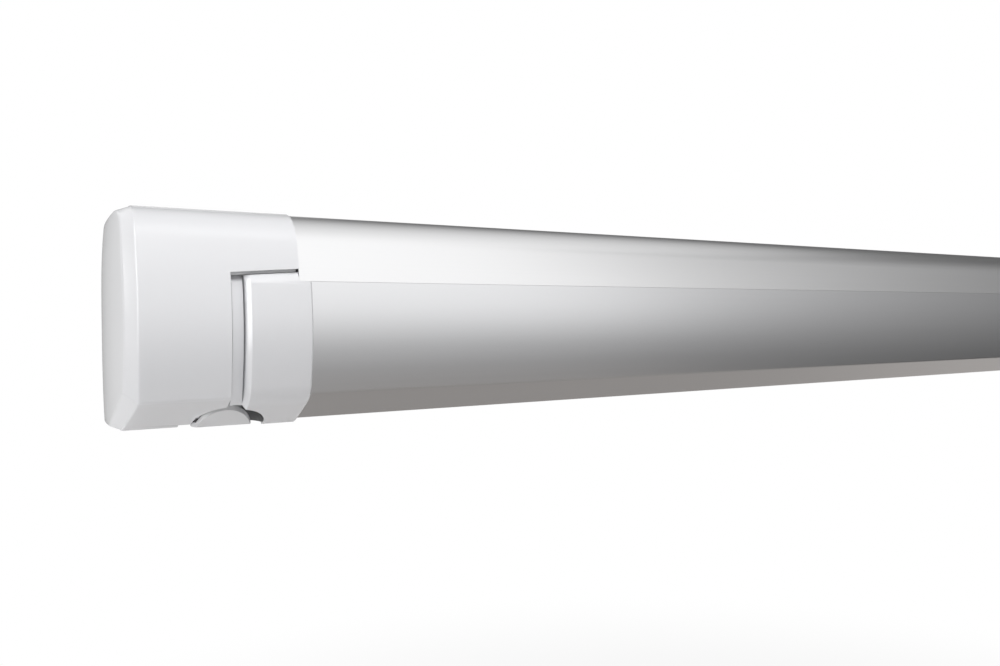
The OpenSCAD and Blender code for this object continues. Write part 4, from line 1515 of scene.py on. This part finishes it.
@dataclass
class CrankPort:
    """The round surround of the crank's socket, the half ring behind it and the socket itself."""

    cassette: Cassette
    # The surround: flange and neck, the mouth, and the chamber between sill and roof.
    radius: float = 19 * MM
    flange: float = 3.2 * MM
    neck: float = 13.4 * MM
    mouth: float = 6.6 * MM
    chamber: float = 11.3 * MM
    sill: float = 9.6 * MM
    shaft: float = 5.05 * MM
    depth: float = 26 * MM
    roof: float = 4 * MM
    rim: float = 1.3 * MM
    rim_segments: int = 4
    # Its lower face: below the floor, flat at the sole and steep ahead of it.
    drop: float = 0.6 * MM
    sole: float = 1.0 * MM
    face_angle: float = math.radians(45)
    # The half ring behind it.
    cup_inner: float = 22.2 * MM
    cup_outer: float = 23.3 * MM
    cup_set: float = 3.0 * MM
    liner_drop: float = 0.8 * MM
    cup_lap: float = 3.0 * MM
    cup_edge: float = 0.3 * MM
    cup_turn: float = math.radians(105)
    cup_steps: int = 25
    # The turning socket.
    eye: float = 6 * MM
    eye_top: float = 21 * MM
    eye_gap: float = 0.4 * MM
    eye_edge: float = 0.5 * MM
    eye_steps: int = 64

    def build(self) -> None:
        """Makes the surround, the half ring and the turning socket."""
        cap = EndCap(self.cassette, Side.LEFT)
        self.surround(cap)
        self.cup(cap)
        self.socket(cap)

    def surround(self, cap: EndCap) -> None:
        """A turned neck with a narrow mouth and a chamber, and a flange round its lower end.

        Both are cut off steeply in front of the mouth, and the flange follows that cut.

        Args:
            cap: the end cap that holds the crank's axis.
        """
        c = self.cassette
        low, sill = c.floor - self.drop, c.floor + self.sill
        ledge, high = c.floor + self.depth, c.floor + self.depth + self.roof
        neck = np.array([
            (self.mouth, low), (self.neck, low), (self.neck, high), (self.shaft, high),
            (self.shaft, ledge), (self.chamber, ledge), (self.chamber, sill), (self.mouth, sill),
        ])
        flange = rectangle(self.chamber, low, self.radius, high)
        toe = cap.crank[1] - self.mouth - self.sole
        rise = (toe - c.front) * math.tan(self.face_angle)
        face = np.array([(c.front, low + rise), (toe, low), (c.back, low)])
        above = np.array([(c.back, c.top), (c.front, c.top)])
        behind = face[::-1] + (0.0, self.flange)
        piece = self.cut(lathe("crank_surround", neck, cap.crank), np.vstack([face, above]), cap)
        plate = self.cut(lathe("flange", flange, cap.crank), np.vstack([face, behind]), cap)
        soften(carved(piece, [plate], "UNION"), self.rim, self.rim_segments)
        hand_over(piece, "cassette", PORT_PLASTIC, Slot.CAP, "crank_collar")

    def cut(self, piece: bpy.types.Object, outline: np.ndarray, cap: EndCap) -> bpy.types.Object:
        """Keeps what lies inside an outline in Y and Z.

        Args:
            piece: a body round the crank's axis.
            outline: rows of y and z.
            cap: the end cap that holds the crank's axis.

        Returns:
            The cut body.
        """
        half = 2 * self.radius
        keep = prism_x("keep_tool", outline, cap.crank[0] - half, cap.crank[0] + half)
        return carved(piece, [keep], "INTERSECT")

    def cup(self, cap: EndCap) -> None:
        """The recess's rear wall: half a ring behind the surround, with a roof over the gap.

        Its right stretch is a dark liner, whose dark colour is painted shade in the recess, and its
        left stretch is white as the cap is and ends above the flange.

        Args:
            cap: the end cap that holds the recess.
        """
        floor = self.cassette.floor
        # The liner is painted dark as shade in the recess; the cup beside it keeps the cap's white.
        self.stretch("crank_liner", 0.0, self.cup_turn, floor - self.liner_drop, cap, LINER_SHADE_PLASTIC)
        self.stretch("crank_cup", self.cup_turn, math.pi, floor + self.cup_set, cap, CAP_PLASTIC)

    def stretch(
        self, name: str, first: float, last: float, low: float, cap: EndCap, finish: Finish
    ) -> None:
        """One stretch of the rear wall.

        Args:
            name: the piece's name.
            first: angle about the recess's axis, from +X.
            last: the other end's angle.
            low: z of its lower edge.
            cap: the end cap that holds the recess.
            finish: its finish.
        """
        high = self.cassette.floor + self.depth
        under, lap = high - cap.wall, self.radius - self.cup_lap
        profile = np.array([
            (self.cup_inner, low), (self.cup_outer, low), (self.cup_outer, high),
            (lap, high), (lap, under), (self.cup_inner, under),
        ])
        points = turned(profile, cap.recess, np.linspace(first, last, self.cup_steps))
        hand_over(soften(solid(name, points), self.cup_edge), "cassette", finish, Slot.CAP)

    def socket(self, cap: EndCap) -> None:
        """The turning socket above the mouth: a short boss with the crank's eye.

        Args:
            cap: the end cap that holds the crank's axis.
        """
        c = self.cassette
        low, high = c.floor + self.sill + self.eye_gap, c.floor + self.depth - self.eye_gap
        outer, top = self.chamber - self.eye_gap, c.floor + self.eye_top
        profile = np.array([
            (self.eye, low), (outer, low), (outer, high), (0, high), (0, top), (self.eye, top),
        ])
        piece = lathe("crank_eye", profile, cap.crank, self.eye_steps)
        hand_over(soften(piece, self.eye_edge), "crank", PORT_PLASTIC, Slot.CAP, "crank_boss")


@dataclass
class Cloth:
    """The awning cloth: the wound part, the stretch to the rail and the bead on its edge."""

    thickness: float = 0.6 * MM
    points_a_turn: int = 60
    wound_columns: int = 3
    rows: int = 48
    columns: int = 40
    bead_steps: int = 24
    bead_ends: tuple[float, ...] = (0.0, 0.3 * MM, 1.0 * MM)
    bead_shares: tuple[float, ...] = (0.8, 0.95, 1.0)

    def wound(self) -> None:
        """A spiral on the roller tube, one thickness out at each turn.

        The radius grows evenly with the angle, so the cloth's length is the ring's area over
        its thickness.
        """
        low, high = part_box("fabric_roll")
        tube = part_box("roller_tube")
        axis_y, axis_z = (low.y + high.y) / 2, (low.z + high.z) / 2
        outer = (high.z - low.z) / 2
        inner = (tube[1].z - tube[0].z) / 2
        turns = (outer - inner) / self.thickness
        count = int(turns * self.points_a_turn)
        angle = np.linspace(0, 2 * math.pi * turns, count)
        radius = np.linspace(inner + self.thickness / 2, outer - self.thickness / 2, count)
        start = -math.pi / 2 - angle[-1]
        x = np.linspace(low.x, high.x, self.wound_columns)
        y = axis_y + radius * np.cos(start + angle)
        z = axis_z + radius * np.sin(start + angle)
        piece = open_sheet("wound_cloth", grid(x, y[:, None], z[:, None]))
        hand_over(piece, "roller", CLOTH, Slot.CLOTH, "fabric_roll")

    def stretch(self) -> None:
        """The strip between roll and rail."""
        low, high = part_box("fabric_sheet")
        middle = (low.z + high.z) / 2
        x = np.linspace(low.x, high.x, self.columns)
        y = np.linspace(high.y, low.y, self.rows)
        piece = open_sheet("stretched_cloth", grid(x, y[:, None], middle))
        thick = piece.modifiers.new("thickness", "SOLIDIFY")
        thick.thickness = high.z - low.z
        thick.offset = 0.0
        applied(piece)
        piece.data.materials.append(CLOTH.material())
        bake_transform(piece)
        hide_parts("fabric_sheet")
        log.info("stretched_cloth bends between cassette and fabric_front")

    def bead(self) -> None:
        """The welt round a cord along the cloth's front edge, as a small round hem.

        A circle is carried along X, and it is smaller towards both ends.
        """
        low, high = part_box("fabric_bead")
        radius = (high.z - low.z) / 2
        centre = np.array([(low.y + high.y) / 2, (low.z + high.z) / 2])
        angle = np.linspace(0, 2 * math.pi, self.bead_steps, endpoint=False)
        circle = radius * np.stack([np.cos(angle), np.sin(angle)], 1)
        ends = np.array(self.bead_ends)
        stations = np.concatenate([low.x + ends, (high.x - ends)[::-1]])
        shares = (*self.bead_shares, *self.bead_shares[::-1])
        piece = solid("cloth_bead", rings([centre + circle * share for share in shares], stations))
        hand_over(piece, "fabric_front", CLOTH, Slot.CLOTH, "fabric_bead")

    def build(self) -> None:
        """Makes the three parts of the cloth."""
        self.wound()
        self.stretch()
        self.bead()


@dataclass
class ArmTube:
    """One hollow arm tube with rounded corners."""

    node: str
    body: str
    corner: float = 3.5 * MM
    corner_steps: int = 6
    wall: float = 2.5 * MM
    edge: float = 0.4 * MM

    def build(self) -> None:
        """A ring of outside and inside outlines, closed at both ends."""
        low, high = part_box(self.node)
        outline = Outline.of(
            (high.y, low.z, self.corner),
            (high.y, high.z, self.corner),
            (low.y, high.z, self.corner),
            (low.y, low.z, self.corner),
        )
        outside = outline.points(self.corner_steps)
        inside = outline.inset(self.wall).points(self.corner_steps)
        points = rings([outside, outside, inside, inside], [low.x, high.x, high.x, low.x])
        piece = solid(f"{self.node}_tube", points, wrap_path=True)
        soften(piece, self.edge)
        hand_over(piece, self.body, ARM_METAL, Slot.ARM, self.node)


@dataclass(frozen=True)
class Dressing:
    """A finish and an edge rounding for CAD nodes that keep their shape."""

    finish: Finish
    edge: float
    nodes: tuple[str, ...]

    def apply(self) -> None:
        """Gives each node the material, and rounds its edges with live modifiers."""
        for name in self.nodes:
            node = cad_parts[name]
            node.data.materials.clear()
            node.data.materials.append(self.finish.material())
            if self.edge > 0:
                weld = node.modifiers.new("weld", "WELD")
                weld.merge_threshold = WELD_DISTANCE
                soften(node, self.edge, turn=CAD_EDGE_TURN)
            log.info("%s dressed in %s", name, self.finish.name)


def both(*names: str) -> tuple[str, ...]:
    """The left and right node of each name."""
    return tuple(f"{name}_{side.word}" for name in names for side in Side)


DRESSINGS = (
    Dressing(PLATE_STEEL, 0.5 * MM, (*both("end_plate"), *both("wall_bracket"), "wall_bracket_centre")),
    Dressing(GEAR_PLASTIC, 0.8 * MM, ("gearbox_housing",)),
    Dressing(BUSH_PLASTIC, 0.3 * MM, ("roller_bushes",)),
    Dressing(PIN_STEEL, 0.3 * MM, ("cap_screws", "shoulder_pins", "front_pins")),
    Dressing(PIN_STEEL, 0.3 * MM, both("elbow_pin", "leg_hinge")),
    Dressing(PIN_STEEL, 0.0, ("worm_shaft",)),
    Dressing(WHEEL_BRASS, 0.0, ("worm_wheel",)),
    Dressing(SEAL_RUBBER, 0.4 * MM, ("hood_seal",)),
    Dressing(JOINT_CAST, 0.9 * MM, both("shoulder_bracket", "front_bracket", "elbow_fork")),
    Dressing(JOINT_CAST, 0.9 * MM, both("shoulder_knuckle", "elbow_knuckle", "front_knuckle")),
    Dressing(TUBE_METAL, 0.0, ("roller_tube",)),
    Dressing(GEAR_PLASTIC, 0.5 * MM, both("roller_plug")),
    Dressing(SPRING_STEEL, 0.0, both("arm_spring")),
    Dressing(LEG_METAL, 0.6 * MM, both("leg_outer", "leg_inner")),
    Dressing(FOOT_RUBBER, 1.2 * MM, both("leg_foot")),
    Dressing(LEVER_PLASTIC, 0.3 * MM, both("leg_lever")),
)


# The studio


@dataclass(frozen=True)
class SoftBox:
    """A rectangular soft lamp that faces an end of the awning.

    Its glow is how bright its face looks, where one is white, and its light opens to the spread.
    A mirrored lamp shows in glossy surfaces. The aim is for the left end.
    """

    name: str
    place: Place
    size: tuple[float, float]
    glow: float
    end: Side = Side.LEFT
    spread: float = math.pi
    mirrored: bool = False
    aim: Place = (-1.25, -0.12, 0.0)

    def build(self) -> None:
        """Makes the lamp; its power is its glow times pi times its area."""
        data = bpy.data.lights.new(self.name, "AREA")
        data.shape = "RECTANGLE"
        data.size, data.size_y = self.size
        data.energy = self.glow * math.pi * self.size[0] * self.size[1]
        data.spread = self.spread
        made = bpy.data.objects.new(self.name, data)
        made.location = self.place
        aim = Vector(self.aim) * Vector((-self.end.value, 1.0, 1.0))
        made.rotation_euler = (aim - Vector(self.place)).to_track_quat("-Z", "Y").to_euler()
        made.visible_glossy = self.mirrored
        bpy.context.scene.collection.objects.link(made)
        log.info("lamp %s", self.name)


LAMPS = (
    SoftBox("soft_box", place=(-0.95, -1.68, 2.1), size=(2.6, 1.6), glow=4.1),
    SoftBox("left_box", place=(-3.65, -0.7, 0.8), size=(1.8, 2.4), glow=2.4, mirrored=True),
    SoftBox("low_box", place=(-1.15, -0.35, -1.55), size=(2.0, 1.2), glow=1.4),
    SoftBox(
        "right_box", place=(2.3, -1.35, 0.75), size=(1.2, 1.2), glow=0.8,
        end=Side.RIGHT, spread=math.radians(60),
    ),
)


@dataclass(frozen=True)
class Card:
    """A graded card outside the view, which shapes what the metal mirrors.

    It is a rectangle, given by a corner and the ends of the two sides from it. Its tone is the
    product of a ramp along each side, of places and tones, and it casts no shadow.
    """

    name: str
    corner: Place
    along_end: Place
    up_end: Place
    along_tones: Ramp = ((0.0, 1.0), (1.0, 1.0))
    up_tones: Ramp = ((0.0, 1.0), (1.0, 1.0))
    tint: Colour = (1.0, 1.0, 1.0)
    glow: float = 1.3
    steps: int = 5

    def build(self) -> None:
        """Makes the card: its points are the corner plus a share of each side."""
        origin = np.array(self.corner)
        along, up = np.array(self.along_end) - origin, np.array(self.up_end) - origin
        share = np.linspace(0, 1, self.steps)
        points = origin + share[:, None, None] * along + share[None, :, None] * up
        piece = open_sheet(self.name, points)
        piece.visible_camera = piece.visible_diffuse = piece.visible_shadow = False
        material, paint = blank_material(self.name)
        ramps = self.ramp(paint, along, self.along_tones), self.ramp(paint, up, self.up_tones)
        colour = paint.blend(1.0, *ramps, mode="MULTIPLY")
        glow = paint.node("ShaderNodeEmission", sockets={"Color": colour, "Strength": self.glow})
        paint.node("ShaderNodeOutputMaterial", sockets={"Surface": glow})
        piece.data.materials.append(material)
        log.info("card %s", self.name)

    def ramp(self, paint: Paint, side: np.ndarray, tones: Ramp) -> Signal:
        """The tone along one side.

        The share of the way is the place's dot product with the side, less the corner's, over
        the square of the side's length.

        Args:
            paint: the node tree.
            side: from the corner to the side's end.
            tones: places and tones along it.

        Returns:
            The colour.
        """
        scale = side / (side @ side)
        sockets = {0: paint.coords(), 1: scale}
        reach = paint.node("ShaderNodeVectorMath", {"operation": "DOT_PRODUCT"}, sockets, "Value")
        way = reach - float(np.array(self.corner) @ scale)
        stops = [(place, (*shade(self.tint, tone), 1.0)) for place, tone in tones]
        return paint.node("ShaderNodeValToRGB", {"stops": stops}, {0: way})


WARM_TINT = (1.0, 0.975, 0.955)
CARDS = (
    Card(
        "front_card",
        corner=(2.6, -4.2, -2.1),
        along_end=(-6.0, -4.2, -2.1),
        up_end=(2.6, -4.2, 5.2),
        up_tones=(
            (0.0, 0.22), (0.06, 0.26), (0.18, 0.40), (0.26, 0.64), (0.34, 0.90), (0.42, 1.0), (0.5, 1.0),
        ),
    ),
    Card(
        "right_card",
        corner=(2.6, 3.4, -2.1),
        along_end=(2.6, -6.4, -2.1),
        up_end=(2.6, 3.4, 5.0),
        along_tones=(
            (0.0, 0.05), (0.36, 0.055), (0.40, 0.07), (0.44, 0.14), (0.5, 0.25), (0.82, 0.82), (1.0, 1.0),
        ),
        up_tones=(
            (0.0, 0.22), (0.05, 0.25), (0.19, 0.39), (0.27, 0.56), (0.36, 0.76), (0.45, 0.92), (0.52, 1.0),
        ),
    ),
    Card(
        "top_card",
        corner=(-2.5, -2.2, 2.6),
        along_end=(6.0, -2.2, 2.6),
        up_end=(-2.5, 3.4, 2.6),
        along_tones=((0.0, 1.0), (0.34, 1.0), (0.42, 0.86), (0.54, 0.60), (0.6, 0.5), (1.0, 0.22)),
        up_tones=((0.0, 1.0), (0.4, 0.68), (0.75, 0.24), (1.0, 0.06)),
    ),
    Card(
        "back_card",
        corner=(-0.9, 3.4, -1.2),
        along_end=(6.0, 3.4, -1.2),
        up_end=(-0.9, 3.4, 2.6),
        along_tones=((0.0, 1.0), (0.1, 0.8), (0.17, 0.25), (0.3, 0.16), (1.0, 0.16)),
        up_tones=((0.0, 0.42), (1.0, 0.6)),
    ),
    Card(
        "side_card",
        corner=(-3.4, 3.4, -2.1),
        along_end=(-0.9, 3.4, -2.1),
        up_end=(-3.4, 3.4, 2.6),
        along_tones=((0.0, 0.66), (0.2, 0.62), (0.48, 0.50), (0.72, 0.34), (0.96, 0.18), (1.0, 0.16)),
    ),
    Card(
        "under_card",
        corner=(-1.1, -4.2, -1.98),
        along_end=(2.6, -4.2, -1.98),
        up_end=(-1.1, 3.4, -1.98),
        along_tones=((0.0, 0.27), (1.0, 0.29)),
        tint=WARM_TINT,
    ),
    Card(
        "low_card",
        corner=(2.55, 3.4, -2.1),
        along_end=(2.55, -0.1, -2.1),
        up_end=(2.55, 3.4, -0.35),
        along_tones=((0.0, 0.38), (1.0, 0.40)),
        tint=WARM_TINT,
    ),
)


@dataclass
class Studio:
    """Camera, lamps, cards, floor and background."""

    camera_place: Place = (-1.358, -0.676, 0.0058)
    camera_yaw: float = math.radians(30.73)
    camera_drop: float = math.radians(1.595)
    lens: float = 30.0
    sensor: float = 36.0
    clip: tuple[float, float] = (0.01, 100.0)
    ambient: float = 0.18
    floor_height: float = -1.985
    floor_reach: float = 30.0
    floor_points: int = 9
    floor_fade: tuple[float, float] = (3.0, 5.0)
    floor_white: float = 0.85
    floor_tones: tuple[float, float] = (0.86, 0.88)
    flecks_a_metre: float = 6.0

    def camera(self) -> None:
        """The camera at the photograph's viewing angle."""
        data = bpy.data.cameras.new("camera")
        data.lens = self.lens
        data.sensor_width = self.sensor
        data.sensor_fit = "HORIZONTAL"
        data.clip_start, data.clip_end = self.clip
        made = bpy.data.objects.new("camera", data)
        made.location = self.camera_place
        made.rotation_euler = (math.pi / 2 - self.camera_drop, 0.0, -self.camera_yaw)
        bpy.context.scene.collection.objects.link(made)
        bpy.context.scene.camera = made

    def floor(self) -> None:
        """A pale floor that looks white to the camera and keeps the object's shadow."""
        share = np.linspace(-self.floor_reach, self.floor_reach, self.floor_points)
        piece = open_sheet("floor", grid(share, share[:, None], self.floor_height))
        material, paint = blank_material("pale_floor")
        dark, light = ((tone, tone, tone) for tone in self.floor_tones)
        colour = paint.blend(paint.noise(self.flecks_a_metre), dark, light)
        pale = paint.node("ShaderNodeBsdfDiffuse", sockets={"Color": colour})
        white = paint.node("ShaderNodeEmission", sockets={"Color": (1, 1, 1, 1), "Strength": 1.0})
        clear = paint.node("ShaderNodeBsdfTransparent")
        way = paint.node("ShaderNodeVectorMath", {"operation": "LENGTH"}, {0: paint.coords()}, "Value")
        near, far = self.floor_fade
        ends = {"From Min": near, "From Max": far, "To Min": self.floor_white, "To Max": 1.0}
        soft = {"interpolation_type": "SMOOTHSTEP"}
        away = paint.node("ShaderNodeMapRange", soft, {"Value": way, **ends})
        seen = self.background_rays(paint, away)
        lit = paint.node("ShaderNodeMixShader", sockets={0: seen, 1: pale, 2: white})
        back = paint.node("ShaderNodeNewGeometry", output="Backfacing")
        both_sides = paint.node("ShaderNodeMixShader", sockets={0: back, 1: lit, 2: clear})
        paint.node("ShaderNodeOutputMaterial", sockets={"Surface": both_sides})
        piece.data.materials.append(material)

    def background_rays(self, paint: Paint, camera_share: float | Signal = 1.0) -> Signal:
        """One for rays that show the background: from the camera, a mirror or through glass.

        Args:
            paint: the node tree.
            camera_share: what a ray from the camera counts instead of one.

        Returns:
            The value of each ray.
        """
        names = ("Is Camera Ray", "Is Glossy Ray", "Is Transmission Ray")
        camera, glossy, through = (paint.node("ShaderNodeLightPath", output=name) for name in names)
        return (camera * camera_share).highest(glossy).highest(through)

    def world(self) -> None:
        """White to the camera, in mirrors and through glass, and a soft grey for all else."""
        world = bpy.data.worlds.new("studio")
        bpy.context.scene.world = world
        world.use_nodes = True
        paint = Paint(world.node_tree)
        seen = self.background_rays(paint)
        strength = seen * (1.0 - self.ambient) + self.ambient
        back = paint.node("ShaderNodeBackground", sockets={"Color": (1, 1, 1, 1), "Strength": strength})
        paint.node("ShaderNodeOutputWorld", sockets={"Surface": back})

    def build(self) -> None:
        """Sets the whole studio up."""
        self.camera()
        self.world()
        self.floor()
        for piece in (*LAMPS, *CARDS):
            piece.build()
        bpy.context.scene.view_settings.view_transform = "Standard"


def main() -> None:
    """Builds the sub-assemblies in order."""
    Studio().build()
    cassette = Cassette()
    Hood(cassette).build()
    LeadRail(cassette).build()
    for side in Side:
        EndCap(cassette, side).build()
        LeadCap(cassette, side).build()
        ArmTube(f"upper_arm_{side.word}", f"{side.word}_upper_arm").build()
        ArmTube(f"forearm_{side.word}", f"{side.word}_forearm").build()
    CrankPort(cassette).build()
    Cloth().build()
    for dressing in DRESSINGS:
        dressing.apply()


if __name__ == "__main__":
    main()
